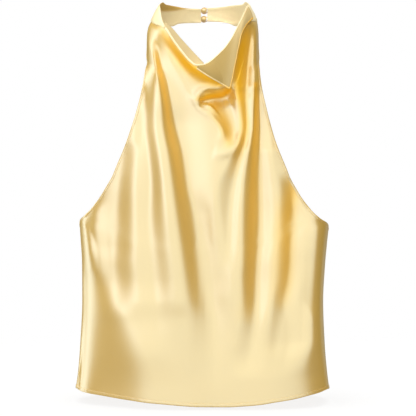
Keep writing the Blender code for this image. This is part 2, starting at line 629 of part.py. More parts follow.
def make_facing_inner():
    knots = column(FACING_INNER, 0)
    degrees = np.linspace(knots[0], knots[-1], 13)
    edge, n = neckline_point(degrees)
    # further behind the front towards the foot of the neckline
    behind = np.linspace(1.4, 6.6, 13)[:, None] * MM
    edge = edge - n * (WALL + GAP + behind) - np.array([0, 0, 0.8 * MM])
    free = place(smooth(knots, column(FACING_INNER, 1), degrees) * MM,
                 smooth(knots, column(FACING_INNER, 2), degrees) * MM,
                 smooth(knots, column(FACING_INNER, 3), degrees) * MM)
    t = np.linspace(0, 1, 4)[:, None, None]
    grid = edge[None] * (1 - t) + free[None] * t
    return wall(sheet("facing_inner", grid))


def make_facing_out():
    knots = np.arange(len(FACING_OUT), dtype=float)
    at = np.linspace(0, len(FACING_OUT) - 1, 17)
    ex, ez, ey, ox, oz, oy = (smooth(knots, column(FACING_OUT, i), at) * MM
                              for i in range(6))
    t = np.linspace(0, 1, FACING_OUT_ACROSS + 1)[:, None]
    gx, gy, gz = (a[None] * (1 - t) + b[None] * t
                  for a, b in ((ox, ex), (oy, ey), (oz, ez)))
    # it lies on the cloth in front, clear of it by its own wall and a little
    behind = front_depth(gx, gz)
    clear = 2.4 * MM + FACING_OUT_CLEAR * np.clip((1 - t) / 0.25, 0, 1)
    over = ease((-6 * MM - gz) / (14 * MM))
    gy = gy + over * (np.minimum(gy, behind - clear) - gy) - SIDE_GAP / 2
    return wall(sheet("facing_turned_out", place(gx, gy, gz)))


def make_button(name, x, z):
    """A ball with a short shank towards the band's end at -X."""
    bm = bmesh.new()
    bmesh.ops.create_uvsphere(bm, u_segments=12, v_segments=8,
                              radius=BUTTON_RADIUS,
                              matrix=Matrix.Rotation(math.pi / 2, 4, "Y"))
    # pull the faces round the -X pole out into the shank
    pole = min(bm.verts, key=lambda v: v.co.x)
    ring = [e.other_vert(pole) for e in pole.link_edges]
    for v in ring:
        v.co = Vector((v.co.x, v.co.y, v.co.z)).normalized() * BUTTON_RADIUS
        flat = Vector((0, v.co.y, v.co.z)).normalized() * SHANK_RADIUS
        v.co = Vector((-BUTTON_RADIUS * 0.97, flat.y, flat.z))
    cap = [f for f in pole.link_faces]
    made = bmesh.ops.extrude_face_region(bm, geom=cap)
    for v in [g for g in made["geom"] if isinstance(g, bmesh.types.BMVert)]:
        v.co.x = -4.15 * MM - x * MM
    bmesh.ops.delete(bm, geom=cap, context="FACES")
    bmesh.ops.recalc_face_normals(bm, faces=bm.faces)
    mesh = bpy.data.meshes.new(name)
    bm.to_mesh(mesh)
    bm.free()
    mesh.shade_smooth()
    obj = mesh_object(name, mesh)
    obj.location = (x * MM, BUTTON_DEPTH * MM, z * MM)
    return obj


def make_loop(name, x, z):
    """A thin cord from the outside of the band's end at +X, round the ball,
    and back."""
    curve = bpy.data.curves.new(name, "CURVE")
    curve.dimensions = "3D"
    curve.bevel_depth = LOOP_RADIUS
    curve.bevel_resolution = 1
    curve.use_fill_caps = True
    end = LOOP_END - x * MM
    path = [(end, -0.3 * MM, 2.2 * MM), (6.2 * MM, 0.1 * MM, 2.3 * MM),
            (4.8 * MM, 1.2 * MM, 2.5 * MM),
            (3.7 * MM, LOOP_BEHIND * 0.9, 3.0 * MM)]
    for i in range(9):
        a = math.radians(60 + 240 * i / 8)
        path.append((LOOP_RING * math.cos(a), LOOP_BEHIND,
                     LOOP_RING * math.sin(a)))
    path += [(x_, y_, -z_) for x_, y_, z_ in reversed(path[:4])]
    spline = curve.splines.new("POLY")
    spline.points.add(len(path) - 1)
    for point, co in zip(spline.points, path):
        point.co = (*co, 1.0)
    obj = bpy.data.objects.new(name, curve)
    bpy.context.scene.collection.objects.link(obj)
    obj.location = (x * MM, BUTTON_DEPTH * MM, z * MM)
    return obj


def main():
    for obj in list(bpy.data.objects):
        bpy.data.objects.remove(obj, do_unlink=True)
    satin = material("satin", (0.86, 0.66, 0.32), 0.36)
    wrong = material("satin_wrong_side", (0.66, 0.52, 0.27), 0.62)
    ball = material("button", (0.90, 0.74, 0.42), 0.22)
    pieces = [make_front(), make_back(), *make_bands()]
    for obj in pieces:
        obj.data.materials.append(satin)
    for obj in (make_facing_inner(), make_facing_out()):
        obj.data.materials.append(wrong)
    for which, x, z in BUTTONS:
        make_button("button_" + which, x, z).data.materials.append(ball)
        make_loop("loop_" + which, x, z).data.materials.append(satin)


main()
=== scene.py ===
"""Halter neck top in pale gold satin, hollow, as worn, filled out with no wearer.

The cloth is built as thin shells on its solids' forms: rings from named
sizes, long folds and cowl folds from short tables.  Widths and heights of the
front are those of its front elevation; `place` carries them to the cloth's depth.
"""
import math

import bmesh
import bpy
import numpy as np
from mathutils import Matrix, Vector


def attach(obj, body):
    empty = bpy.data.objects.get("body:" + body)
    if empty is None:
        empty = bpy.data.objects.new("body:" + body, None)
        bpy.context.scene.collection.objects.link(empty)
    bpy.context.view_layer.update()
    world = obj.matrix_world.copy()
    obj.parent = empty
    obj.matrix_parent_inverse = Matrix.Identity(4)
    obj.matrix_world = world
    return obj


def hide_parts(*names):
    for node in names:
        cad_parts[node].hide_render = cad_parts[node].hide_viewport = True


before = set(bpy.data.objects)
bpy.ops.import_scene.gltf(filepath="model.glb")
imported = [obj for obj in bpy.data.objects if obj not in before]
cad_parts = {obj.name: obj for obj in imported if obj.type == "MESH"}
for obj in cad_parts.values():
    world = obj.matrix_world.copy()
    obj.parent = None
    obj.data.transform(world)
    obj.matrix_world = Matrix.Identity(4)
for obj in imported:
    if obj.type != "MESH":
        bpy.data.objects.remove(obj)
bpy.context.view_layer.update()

MM = 0.001

# ---------------------------------------------------------------- main sizes
EYE_DISTANCE = 2.000
EYE_HEIGHT = -0.280
CLOTH = 0.7 * MM
HEM_Z = -541 * MM
UNDERARM_Z = -303 * MM
SEAM_Z = -9.4 * MM
HEM_DROP = 12 * MM
BACK_DIP = 22 * MM
BUTTON_RADIUS = 3.9 * MM
BUTTON_DEPTH = 65.0 * MM
NECK_BACK_DEPTH = 68
BAND_BACK_DEPTH = 63.5

# Rings of the front, in mm: height, half widths of the ring, half widths of the
# cloth, degrees past the side, depth, squareness, and how much lower the ring
# ends at +X.
RINGS = (
    # name        height ring_l ring_r edge_l edge_r past depth square lean
    ("hem",        -541, 185.7, 181.6, 185.7, 181.6,  0, 100.0, 4.0,  0.0),
    ("hem_turn",   -519, 182.7, 178.8, 182.7, 178.8,  0, 100.9, 4.0,  0.0),
    ("hip",        -478, 179.4, 175.2, 179.4, 175.2,  0, 102.3, 4.0,  0.0),
    ("waist",      -413, 176.5, 172.8, 176.5, 172.8,  0, 104.0, 4.0,  0.0),
    ("ribs",       -358, 176.9, 175.6, 176.9, 175.6,  0, 104.9, 4.0, -1.0),
    ("chest",      -326, 178.8, 178.4, 178.8, 178.4,  0, 105.2, 4.0, -3.0),
    ("underarm",   -303, 180.0, 180.4, 180.0, 180.4,  0, 105.2, 4.0, -5.0),
    ("armhole_1",  -291, 179.6, 180.0, 172.3, 169.0,  0, 105.1, 3.95, -5.0),
    ("armhole_2",  -280, 179.0, 179.4, 161.2, 156.0,  0, 105.0, 3.9, -4.5),
    ("armhole_3",  -257, 176.0, 176.0, 144.6, 137.3,  0, 104.6, 3.75, -3.5),
    ("armhole_4",  -233, 169.0, 168.0, 130.6, 123.2,  0, 103.9, 3.6, -2.5),
    ("armhole_5",  -199, 154.0, 152.0, 115.8, 108.2,  0, 102.3, 3.35, -1.5),
    ("armhole_6",  -164, 136.0, 132.0, 103.0,  96.3,  0, 99.8, 3.2, -0.7),
    ("armhole_7",  -135, 116.0, 112.0,  94.3,  88.7,  0, 97.2, 3.2,  0.0),
    ("armhole_8",  -109, 100.5,  96.5,  88.5,  83.2,  0, 94.5, 3.25, 0.0),
    ("armhole_9",   -88,  89.5,  86.0,  85.0,  80.9,  0, 92.1, 3.35, 0.0),
    ("notch",       -74,  83.0,  80.6,  82.3,  79.9,  0, 90.6, 3.4,  0.0),
    ("neck_side",   -51,  83.1,  79.5,  83.1,  79.5,  8, 88.3, 3.3,  0.0),
    ("shoulder",    -30,  82.7,  79.2,  82.7,  79.2, 14, 86.5, 2.8,  0.0),
    ("shoulder_2",  -17,  80.5,  78.2,  80.5,  78.2, 16, 85.5, 2.4,  0.0),
    ("band_seam",  -9.4,  76.9,  77.1,  76.9,  77.1, 17,  85, 2.0,  0.0),
)
NECKLINE = (
    (-107, -9.4), (-90, -9.8), (-68, -13.5), (-46, -19.9), (-35.1, -36.3),
    (-23.3, -54.5), (-15.3, -66.3), (-7.6, -72.9), (0, -72.2), (10.8, -63.5),
    (21.8, -50.3), (31, -35.1), (39.8, -17.1), (44, -9.4), (52, -8.4),
    (90, -9.4), (107, -9.4),
)

# The front hem: x and height of its lower edge.
HEM_LINE = (
    (-186, -539.5), (-180, -544.0), (-172, -547.0), (-160, -549.5), (-148, -551.5),
    (-126, -555.5), (-104, -559), (-80, -562.5), (-56, -564.6), (-32, -566.8),
    (-8, -568.2), (35, -568.4), (58, -567.2), (81, -565.3), (104, -561.5),
    (128, -557.5), (151, -551.8), (168, -547.0), (176, -543.5), (182, -541.0))

# Long folds as steps across the front: height and x of a step's middle, how far
# the cloth comes forward there, going to +X (+), or falls back (-), and the
# step's width.  The left steps move the cloth on their left, the others that on
# their right, so the middle of the front keeps its place.
LEFT_STEPS = {
    "edge_fall": (
        (-262, -171, 0, 10), (-285, -171, -6, 10), (-300, -171, -7, 11),
        (-320, -168, -8, 18), (-340, -165, -8, 24), (-365, -164, -4, 26),
        (-384, -163, 0, 26)),
    "arm_edge_fall": (
        (-92, -88, 0, 14), (-109, -90, -4, 16), (-126, -94, -5, 18), (-144, -96, -4.5, 18),
        (-161, -97, -3.5, 18), (-181, -97, -2, 16), (-198, -96, 0, 14)),
    "side_rise": (
        (-175, -104, 0, 18), (-203, -106.5, 4, 23), (-225, -109, 6, 27), (-247, -111.5, 8, 30),
        (-290, -113, 10.5, 34), (-333, -113, 10.5, 36), (-358, -114, 9, 36),
        (-384, -111.7, 8, 36), (-413, -110, 5, 36), (-442, -110, 0, 36)),
    "under_arm_fall": (
        (-268, -146, 0, 24), (-290, -152, -4.5, 28), (-333, -153, -5.5, 30),
        (-365, -150, -3.5, 30), (-400, -148, 0, 30)),
    "lower_left_rise": (
        (-365, -152, 0, 34), (-384, -151, 1.5, 36), (-413, -148, 5, 42),
        (-442, -138, 10, 60), (-471, -130, 15, 76), (-500, -124, 19, 88),
        (-529, -119, 21, 96), (-545, -118, 21.5, 98)),
    "lower_left_slope": (
        (-300, -105, 0, 70), (-413, -105, 2, 80), (-471, -100, 4, 96),
        (-545, -90, 7, 118)),
    "shoulder_rise": (
        (-50, -81, 0, 12), (-74, -79, 1.5, 12), (-91, -77.5, 2.5, 13), (-126, -77.5, 3.5, 16),
        (-161, -77, 5, 19), (-203, -71.5, 8.5, 23), (-247, -67.5, 11, 26),
        (-290, -66.2, 12.5, 33), (-333, -62.5, 11.5, 36), (-384, -56.6, 11, 38),
        (-442, -53.6, 6, 38), (-500, -50, 0, 40)),
    "shoulder_fall": (
        (-20, -79, 0, 16), (-39, -75, -10, 16), (-57, -69.3, -14, 13),
        (-74, -65.8, -15.5, 12), (-91, -61.5, -17, 15),
        (-126, -55.4, -16.5, 20), (-161, -50.3, -17.5, 26), (-203, -40.8, -19, 30),
        (-247, -34.2, -19.5, 33), (-290, -27.8, -20.5, 36), (-333, -21.5, -20.5, 37),
        (-384, -14.4, -20, 40), (-413, -10, -19, 43), (-442, -4.8, -14, 46),
        (-471, -3, -10.5, 50), (-505, -2, -7, 54), (-545, 0, -4.5, 58)),
    "centre_rise": (
        (-60, -45, 0, 36), (-91, -32, 2, 50), (-126, -24, 6, 62),
        (-161, -14, 11, 62), (-203, -6, 10, 58), (-247, -3, 10, 54),
        (-290, 8, 11, 40), (-333, 15, 12, 38), (-384, 22, 12, 42), (-413, 26, 11, 44),
        (-442, 30, 9, 46), (-471, 32, 6.5, 50), (-505, 32, 4, 54), (-545, 32, 2.5, 58)),
}
RIGHT_STEPS = {
    "hollow_fall": (
        (-102, 22, 0, 26), (-114, 22, -6, 28), (-126, 23, -10, 31), (-144, 26, -12, 32),
        (-161, 33, -10, 26), (-181, 38, -5.5, 18), (-200, 42, 0, 12)),
    "curl_rise": (
        (-103, 42, 0, 12), (-126, 44, 3, 13), (-144, 47, 3.2, 13), (-161, 49, 2.6, 13),
        (-181, 46.5, 1.2, 13), (-200, 42, 0, 12)),
    "middle_fall": (
        (-6, 64, 0, 16), (-22, 60, -9, 17), (-39, 56, -14, 24), (-57, 51.5, -17, 30),
        (-74, 49, -17, 32), (-91, 49, -15, 31), (-109, 52, -9.5, 24),
        (-126, 56, -5, 14), (-144, 58, -4.5, 12), (-161, 59.5, -4.5, 11),
        (-181, 57, -5, 13), (-203, 48.5, -7.5, 18), (-225, 40, -9, 26),
        (-247, 33, -9.5, 31), (-268, 30, -9, 32), (-290, 28, -8.5, 32), (-333, 27, -6.5, 32),
        (-358, 26, -4, 30), (-384, 23, -2, 26), (-413, 22, 0, 26)),
    "middle_rise": (
        (-8, 74, 0, 10), (-22, 72.5, 9, 11), (-39, 71.5, 14.5, 12), (-57, 70, 16, 14),
        (-74, 69, 14.5, 15), (-91, 68, 10.5, 15), (-109, 67, 8, 15),
        (-126, 66.8, 6, 14), (-144, 67.2, 4.9, 13), (-161, 66.8, 4.4, 13), (-181, 64.5, 4, 13),
        (-203, 58.5, 4.2, 15), (-225, 53, 4.5, 17), (-247, 49, 5, 19), (-290, 44, 5.5, 21),
        (-333, 42, 5.5, 22), (-358, 40, 4, 24), (-384, 37, 2, 24), (-413, 36, 0, 24)),
    "neck_fall": (
        (-70, 77, 0, 9), (-91, 77, -2, 8), (-109, 76.5, -6, 9), (-126, 76.2, -9.5, 10),
        (-144, 76, -12, 12), (-161, 76, -14, 13),
        (-181, 74.5, -15.5, 16), (-203, 72.5, -17, 23), (-225, 71, -18.5, 29),
        (-247, 70, -20, 33), (-290, 69.5, -21.5, 34), (-333, 69, -20.5, 34),
        (-358, 68, -19, 32), (-384, 66, -17, 31), (-413, 66, -14, 30),
        (-442, 65, -10, 32), (-471, 60, -7, 36), (-500, 50, -4, 38), (-530, 45, 0, 38)),
    "right_rise": (
        (-88, 84, 0, 8), (-109, 84, 4, 10), (-126, 85, 6, 12), (-144, 86.5, 5.5, 14),
        (-161, 88, 5, 16), (-181, 89, 5, 19), (-203, 89, 8, 24),
        (-247, 91, 10, 30), (-290, 93, 11, 34), (-333, 91, 11, 34), (-358, 88, 10, 32),
        (-384, 88, 9, 30), (-413, 87, 8.5, 30), (-442, 85, 7, 30), (-471, 82, 5, 32),
        (-500, 78, 3, 34), (-530, 76, 0, 34)),
    "armhole_fall": (
        (-225, 112, 0, 16), (-247, 118, -5.5, 22), (-268, 121, -8, 27),
        (-290, 122, -10.5, 33), (-333, 121, -10, 34), (-358, 120, -10, 34),
        (-384, 117, -9, 32), (-413, 109, -7.5, 30), (-442, 101, -6, 30),
        (-471, 94, -5.6, 32), (-500, 91, -1.5, 32), (-530, 90, 0, 32)),
    "flute_rise": (
        (-250, 132, 0, 14), (-290, 138, 9.5, 22), (-333, 136, 11, 26),
        (-358, 135, 10.5, 26), (-384, 133, 10, 28), (-413, 130, 9, 34),
        (-442, 140, 12, 44), (-471, 142, 12, 44), (-500, 136, 7, 44), (-530, 130, 0, 44)),
    "right_edge_rise": (
        (-268, 154, 0, 28), (-290, 157.5, 12.5, 33), (-333, 158, 15, 34), (-384, 158, 14, 34),
        (-413, 157, 12, 33), (-442, 155, 8.5, 28), (-471, 154, 6, 28), (-505, 153, 0, 28)),
}

# Ridges (+) and troughs (-) along free paths over the cowl: x, height, size,
# width on the left of the path and on its right, in mm.
COWL_FOLDS = {
    # the turned edge of the neckline and the triangle stand proud of the cloth
    "neckline_rise": (
        (-60, -10, 0, 6, 6), (-54, -20, 5, 7, 7), (-42.7, -38, 9, 8, 8.5),
        (-30, -54, 10, 8, 9.5), (-18, -68, 10, 9, 10.5), (-9, -76, 11, 10, 12),
        (2, -83, 11, 11, 13), (14, -90, 10, 10, 12), (24, -96, 7, 8, 8),
        (31, -102, 4, 6, 5)),
    "lip": (
        (34, -108, 2, 4, 5), (24, -107.5, 3.2, 4, 5), (14, -106.5, 3.8, 4, 5),
        (5, -106.5, 3.8, 4, 5.5), (-2, -109.5, 3.6, 4, 7), (-7.2, -115.5, 3.4, 4, 8.5),
        (-8.8, -121.2, 2.8, 4.5, 8.5), (-5.8, -131.5, 1.9, 4, 6), (4.5, -142, 1.7, 4, 5),
        (15, -151, 1.7, 4, 5), (24, -162.5, 1.7, 5, 5), (27.3, -173, 1.6, 5, 6),
        (24, -184.6, 0.8, 6, 7), (17, -191, 0, 7, 7)),
    "pocket": (
        (2, -134, -2, 5, 6), (-2.5, -128, -6, 5, 7), (4, -124.5, -9, 5.5, 10),
        (16, -122, -10, 6, 14), (28, -120, -10, 6, 13), (36, -114, -7, 6.5, 9),
        (40, -106, -3, 6, 6)),
    "curl": (
        (51, -170, 0, 6, 6), (50, -180.7, 2, 7, 7), (43, -192.4, 3.2, 8, 8),
        (33, -199.5, 3.2, 8, 9), (23, -201, 2, 8, 9), (13, -199, 0, 8, 9)),
    "overlap": (
        (-59, -44, 0, 2, 5), (-45, -72, 1.0, 2, 6), (-30, -97, 1.1, 2, 7),
        (-16, -122, 0.7, 2, 6), (-5, -137, 0.5, 2, 5), (6, -148, 0, 2, 5)),
}

# Painted light and shade: where deep folds light each other, the satin's colour is
# painted more orange along these paths: x, height, amount and the widths on
# either side of the path.
PAINTED_GLOW = {
    "beside_triangle": (
        (64, -12, 0.2, 6, 5), (60, -30, 0.8, 10, 7), (55, -50, 1.0, 13, 10),
        (52, -75, 1.0, 13, 12), (51, -95, 1.0, 12, 11), (53, -115, 0.9, 9, 9),
        (58, -140, 0.7, 6, 7), (59, -170, 0.6, 6, 7), (50, -205, 0.3, 8, 9),
        (38, -240, 0.0, 8, 9)),
    "under_neckline": (
        (-62, -18, 0.2, 4, 4), (-50, -38, 0.7, 5, 7), (-37, -56, 0.9, 6, 9),
        (-24, -72, 1.0, 8, 10), (-4, -86, 1.0, 10, 12), (12, -94, 1.0, 8, 10),
        (24, -101, 0.9, 6, 5)),
    "pocket": (
        (-4, -122, 0.8, 6, 5), (8, -118, 1.0, 9, 6), (24, -116.5, 1.0, 9, 6),
        (36, -110, 1.0, 9, 6)),
    "hollow": (
        (14, -130, 0.4, 10, 10), (24, -144, 0.6, 11, 11), (33, -164, 0.6, 9, 9),
        (37, -184, 0.4, 8, 8)),
    "band_a": (
        (-70, -56, 0.3, 4, 4), (-61, -91, 0.5, 4, 4), (-55, -126, 0.5, 5, 5),
        (-50, -161, 0.45, 6, 6), (-41, -203, 0.35, 8, 8), (-34, -247, 0.3, 9, 9),
        (-28, -290, 0.2, 10, 10), (-15, -384, 0.1, 12, 12), (-5, -442, 0, 14, 14)),
    "band_b": (
        (75, -100, 0.7, 4, 3), (75, -150, 0.7, 5, 3), (72, -210, 0.55, 8, 6),
        (69, -300, 0.45, 11, 9), (66, -400, 0.25, 11, 10), (60, -450, 0.0, 12, 12)),
    "armhole": (
        (150, -240, 0.3, 8, 8), (140, -215, 0.5, 10, 10), (122, -290, 0.55, 10, 14),
        (118, -384, 0.4, 10, 16), (108, -430, 0, 10, 10)),
}

BACK_FOLDS = ((-118, -96, 4.0, 20), (-58, -44, 6.0, 17), (-8, -20, 4.5, 15),
              (49, 60, 5.5, 18), (112, 128, 4.0, 21))

# The neckband's halves: degrees of the foot, its height, then x, depth and
# height of the top edge, in mm.
BAND_LEFT = (
    (46, -19.9, 55.3, -59, -19.9), (56, -16.9, 59.8, -46, -12.0),
    (68, -13.5, 62.9, -31, -1.5), (80, -11.4, 64.5, -14, 11.0),
    (92, -9.8, 63.4, 1, 15.8), (107, -6.7, 60.0, 18.4, 18.3),
    (124, -9.2, 51.8, 35.2, 19.7), (141, -10.0, 39.3, 49.0, 19.3),
    (151, -5.4, 30.3, 55.1, 18.4), (163, -3.6, 18.3, 60.2, 18.0),
    (176.6, -2.9, 4.5, 62.8, 17.9))
BAND_RIGHT = (
    (44, -9.4, 53.6, -60, -9.4), (50, -8.6, 56.4, -51, -2.5),
    (60, -8.4, 59.6, -38, 4.5), (74, -8.8, 62.8, -19, 12.5),
    (90, -9.4, 64.2, -1, 15.8), (107, -6.7, 60.4, 18.4, 18.8),
    (124, -9.2, 52.0, 35.2, 20.0), (141, -10.0, 39.5, 49.0, 20.7),
    (151, -5.0, 30.3, 55.1, 20.2), (163, -2.0, 18.3, 60.2, 19.6),
    (176.4, -0.9, 4.8, 62.8, 19.2))
FACING_INNER = (
    (-46, -57.0, -36, -9.0), (-42, -48.4, -38, -16.4), (-30, -33.0, -48, -34.0),
    (-16, -17.5, -59, -51.0), (-1, 0.0, -72, -69.5))
FACING_OUT = (
    (-9, -73.0, -86.4, -10, -76.5, -88), (0, -72.2, -87.0, -1, -82.6, -90),
    (8.7, -67.8, -86.4, 10, -89.6, -92.5), (17.4, -60.9, -85.0, 22, -96.4, -95),
    (24.6, -53.9, -82.8, 31, -102.0, -97), (30.5, -47.8, -80.4, 36.6, -105.4, -98),
    (35.5, -41.3, -77.8, 40.4, -94.3, -96), (40.6, -33.6, -74.8, 43.5, -78.3, -93.5),
    (45.7, -24.4, -71.4, 47.1, -61.6, -89), (50.7, -14.2, -67.6, 50.0, -47.1, -84),
    (55.8, -4.6, -60.5, 54.0, -29.0, -77), (60.6, 4.4, -47.0, 61.0, -14.5, -64),
    (64.8, 12.2, -24.0, 71.3, -3.5, -42))
BUTTONS = (("upper", 0.15, 15.7), ("lower", -0.4, 3.0))


# ------------------------------------------------------------------- helpers
def smooth(knots, values, at, level_ends=False):
    """Monotone cubic through (knots, values)."""
    x = np.asarray(knots, float)
    y = np.asarray(values, float)
    at = np.clip(np.asarray(at, float), x[0], x[-1])
    h = np.diff(x)
    d = np.diff(y) / h
    m = np.zeros(len(x))
    if not level_ends:
        m[0], m[-1] = d[0], d[-1]
    for i in range(1, len(x) - 1):
        if d[i - 1] * d[i] > 0:
            w1, w2 = 2 * h[i] + h[i - 1], h[i] + 2 * h[i - 1]
            m[i] = (w1 + w2) / (w1 / d[i - 1] + w2 / d[i])
    i = np.clip(np.searchsorted(x, at, side="right") - 1, 0, len(h) - 1)
    t = (at - x[i]) / h[i]
    return ((2 * t**3 - 3 * t**2 + 1) * y[i] + (t**3 - 2 * t**2 + t) * h[i] * m[i]
            + (-2 * t**3 + 3 * t**2) * y[i + 1] + (t**3 - t**2) * h[i] * m[i + 1])


def ease(t):
    t = np.clip(t, 0.0, 1.0)
    return t * t * (3 - 2 * t)


def column(table, i):
    return [row[i] for row in table]


def unit(v):
    v = np.asarray(v, float)
    return v / np.maximum(np.linalg.norm(v, axis=-1, keepdims=True), 1e-12)


def place(x, depth, height):
    k = 1 + depth / EYE_DISTANCE
    return np.stack([x * k, depth + 0 * x,
                     EYE_HEIGHT + (height - EYE_HEIGHT) * k], axis=-1)


def seen_height(real, depth):
    return EYE_HEIGHT + (real - EYE_HEIGHT) / (1 + depth / EYE_DISTANCE)


def waves(t, seed, count=5, low=1.0, high=4.0):
    """A smooth uneven wave, about -1 to 1, the same each run."""
    rng = np.random.default_rng(seed)
    total = np.zeros_like(t, dtype=float)
    for f, p, a in zip(rng.uniform(low, high, count),
                       rng.uniform(0, 2 * math.pi, count),
                       rng.uniform(0.5, 1.0, count)):
        total = total + a * np.sin(2 * math.pi * f * t + p)
    return total / (0.55 * count)


def ring_sizes(height):
    knots = column(RINGS, 1)
    at = np.asarray(height) / MM
    out = {}
    for key, i in (("left", 2), ("right", 3), ("depth", 7), ("square", 8),
                   ("lean", 9)):
        out[key] = smooth(knots, column(RINGS, i), at)
    for key, ring, edge in (("wrap_left", 2, 4), ("wrap_right", 3, 5)):
        wraps = []
        for row in RINGS:
            share = min(row[edge] / row[ring], 1.0)
            wraps.append(math.degrees(math.asin(share ** (row[8] / 2)))
                         + row[6])
        out[key] = smooth(knots, wraps, at)
    return out


def ring_point(degrees, left, right, depth, back, square):
    a = np.radians(degrees)
    s, c = np.sin(a), np.cos(a)
    power = 2.0 / square
    half = np.where(degrees < 0, left, right)
    x = half * np.sign(s) * np.abs(s) ** power
    y = np.where(c >= 0, -depth * np.abs(c) ** power,
                 back * np.abs(c) ** power)
    return x, y


def long_folds(x, height):
    total = np.zeros_like(x)
    at = height / MM
    for steps, start in ((LEFT_STEPS, -1.0), (RIGHT_STEPS, 0.0)):
        for rows in steps.values():
            rows = sorted(rows)
            inside = at <= rows[-1][0]
            if rows[0][0] > HEM_Z / MM:
                inside &= at >= rows[0][0]
            mid, change, width = (smooth(column(rows, 0), column(rows, i), at, True)
                                  for i in (1, 2, 3))
            step = ease((x / MM - mid) / width + 0.5) + start
            total += np.where(inside, change * step, 0.0)
    return total * MM


def path_fold(px, pz, rows):
    best = np.full(px.shape, 1e9)
    value = np.zeros_like(px)
    for a, b in zip(rows[:-1], rows[1:]):
        ax, az, bx, bz = a[0], a[1], b[0], b[1]
        ux, uz = bx - ax, bz - az
        length = math.hypot(ux, uz)
        t = np.clip(((px - ax) * ux + (pz - az) * uz) / length**2, 0, 1)
        dx, dz = px - ax - t * ux, pz - az - t * uz
        d = np.hypot(dx, dz)
        side = ux * dz - uz * dx
        left = a[3] + (b[3] - a[3]) * t
        right = a[4] + (b[4] - a[4]) * t
        width = np.where(side > 0, left, right)
        size = a[2] + (b[2] - a[2]) * t
        near = d < best
        value = np.where(near, size * np.exp(-(d / width) ** 2), value)
        best = np.where(near, d, best)
    return value


def curve_rows(rows, step=5.0):
    """A table's path as a smooth curve, so that ridges have no corners."""
    rows = np.asarray(rows, float)
    along = np.concatenate([[0], np.cumsum(np.hypot(*np.diff(rows[:, :2], axis=0).T))])
    at = np.linspace(0, along[-1], max(int(along[-1] / step), len(rows)) + 1)
    out = [smooth(along, rows[:, i], at) for i in range(2, rows.shape[1])]
    # Catmull-Rom for the path itself
    i = np.clip(np.searchsorted(along, at, side="right") - 1, 0, len(along) - 2)
    t = ((at - along[i]) / (along[i + 1] - along[i]))[:, None]
    p = rows[:, :2]
    p0, p3 = p[np.maximum(i - 1, 0)], p[np.minimum(i + 2, len(p) - 1)]
    p1, p2 = p[i], p[i + 1]
    xy = 0.5 * (2 * p1 + (p2 - p0) * t + (2 * p0 - 5 * p1 + 4 * p2 - p3) * t**2
                + (3 * p1 - p0 - 3 * p2 + p3) * t**3)
    return np.column_stack([xy, *out])


COWL_PATHS = {name: curve_rows(rows) for name, rows in COWL_FOLDS.items()}
PAINTED_GLOW_PATHS = {name: curve_rows(rows) for name, rows in PAINTED_GLOW.items()}


def cowl_folds(x, height):
    total = np.zeros_like(x)
    for rows in COWL_PATHS.values():
        total += path_fold(x / MM, height / MM, rows)
    return total * MM


SOFT_DEGREES = np.linspace(-107, 107, 857)


def soft_neckline():
    """The neckline with its corners smoothed, for the depth of the cloth."""
    line = smooth(column(NECKLINE, 0), column(NECKLINE, 1), SOFT_DEGREES)
    bell = np.exp(-(np.arange(-120, 121) / 40.0) ** 2)
    return np.convolve(np.pad(line, 120, "edge"), bell / bell.sum(), "valid")


SOFT_NECKLINE = soft_neckline()


def front_shape(s, height):
    """The front's outer face as x, depth and height of its front elevation;
    s is -1 to 1 between its edges."""
    ring = ring_sizes(height)
    wrap = np.where(s < 0, ring["wrap_left"], ring["wrap_right"])
    degrees = s * wrap
    x, y = ring_point(degrees, ring["left"], ring["right"], ring["depth"],
                      NECK_BACK_DEPTH, ring["square"])
    x, y = x * MM, y * MM
    top = ring_sizes(np.full_like(height, SEAM_Z))
    top_deg = s * np.where(s < 0, top["wrap_left"], top["wrap_right"])
    neck = smooth(column(NECKLINE, 0), column(NECKLINE, 1), top_deg) * MM
    soft = np.interp(top_deg, SOFT_DEGREES, SOFT_NECKLINE) * MM
    beside = neck - soft
    _, top_y = ring_point(top_deg, top["left"], top["right"], top["depth"],
                          NECK_BACK_DEPTH, top["square"])
    neck = EYE_HEIGHT + (neck - EYE_HEIGHT) * (1 + top_y * MM / EYE_DISTANCE)
    share = (height - HEM_Z) / (SEAM_Z - HEM_Z)
    z = height + share * (neck - SEAM_Z)
    foot = ring_sizes(np.full_like(height, HEM_Z))
    foot_x, foot_y = ring_point(s * 90.0, foot["left"], foot["right"], foot["depth"],
                                NECK_BACK_DEPTH, foot["square"])
    line = smooth(column(HEM_LINE, 0), column(HEM_LINE, 1), foot_x) * MM
    line = EYE_HEIGHT + (line - EYE_HEIGHT) * (1 + foot_y * MM / EYE_DISTANCE)
    z += (line - HEM_Z) * np.clip(1 - share, 0, 1) ** 3
    z += ring["lean"] * MM * ease((s + 1) / 2)
    seen = seen_height(z, y)
    level = ring_sizes(np.clip(height + share * beside, HEM_Z, SEAM_Z))
    r = np.abs(x) / MM / np.where(s < 0, level["left"], level["right"])
    r = np.clip(r, 0, 0.999)
    square = level["square"]
    soft_y = -level["depth"] * MM * (1 - r ** square) ** (1 / square)
    y = y + ease((0.93 - r) / 0.15) * (soft_y - y)
    fold = long_folds(x, seen) + cowl_folds(x, seen)
    ahead = ease(np.cos(np.radians(degrees)) / 0.38)
    return x, y - fold * ahead, seen


def front_surface(s, height):
    return place(*front_shape(s, height))


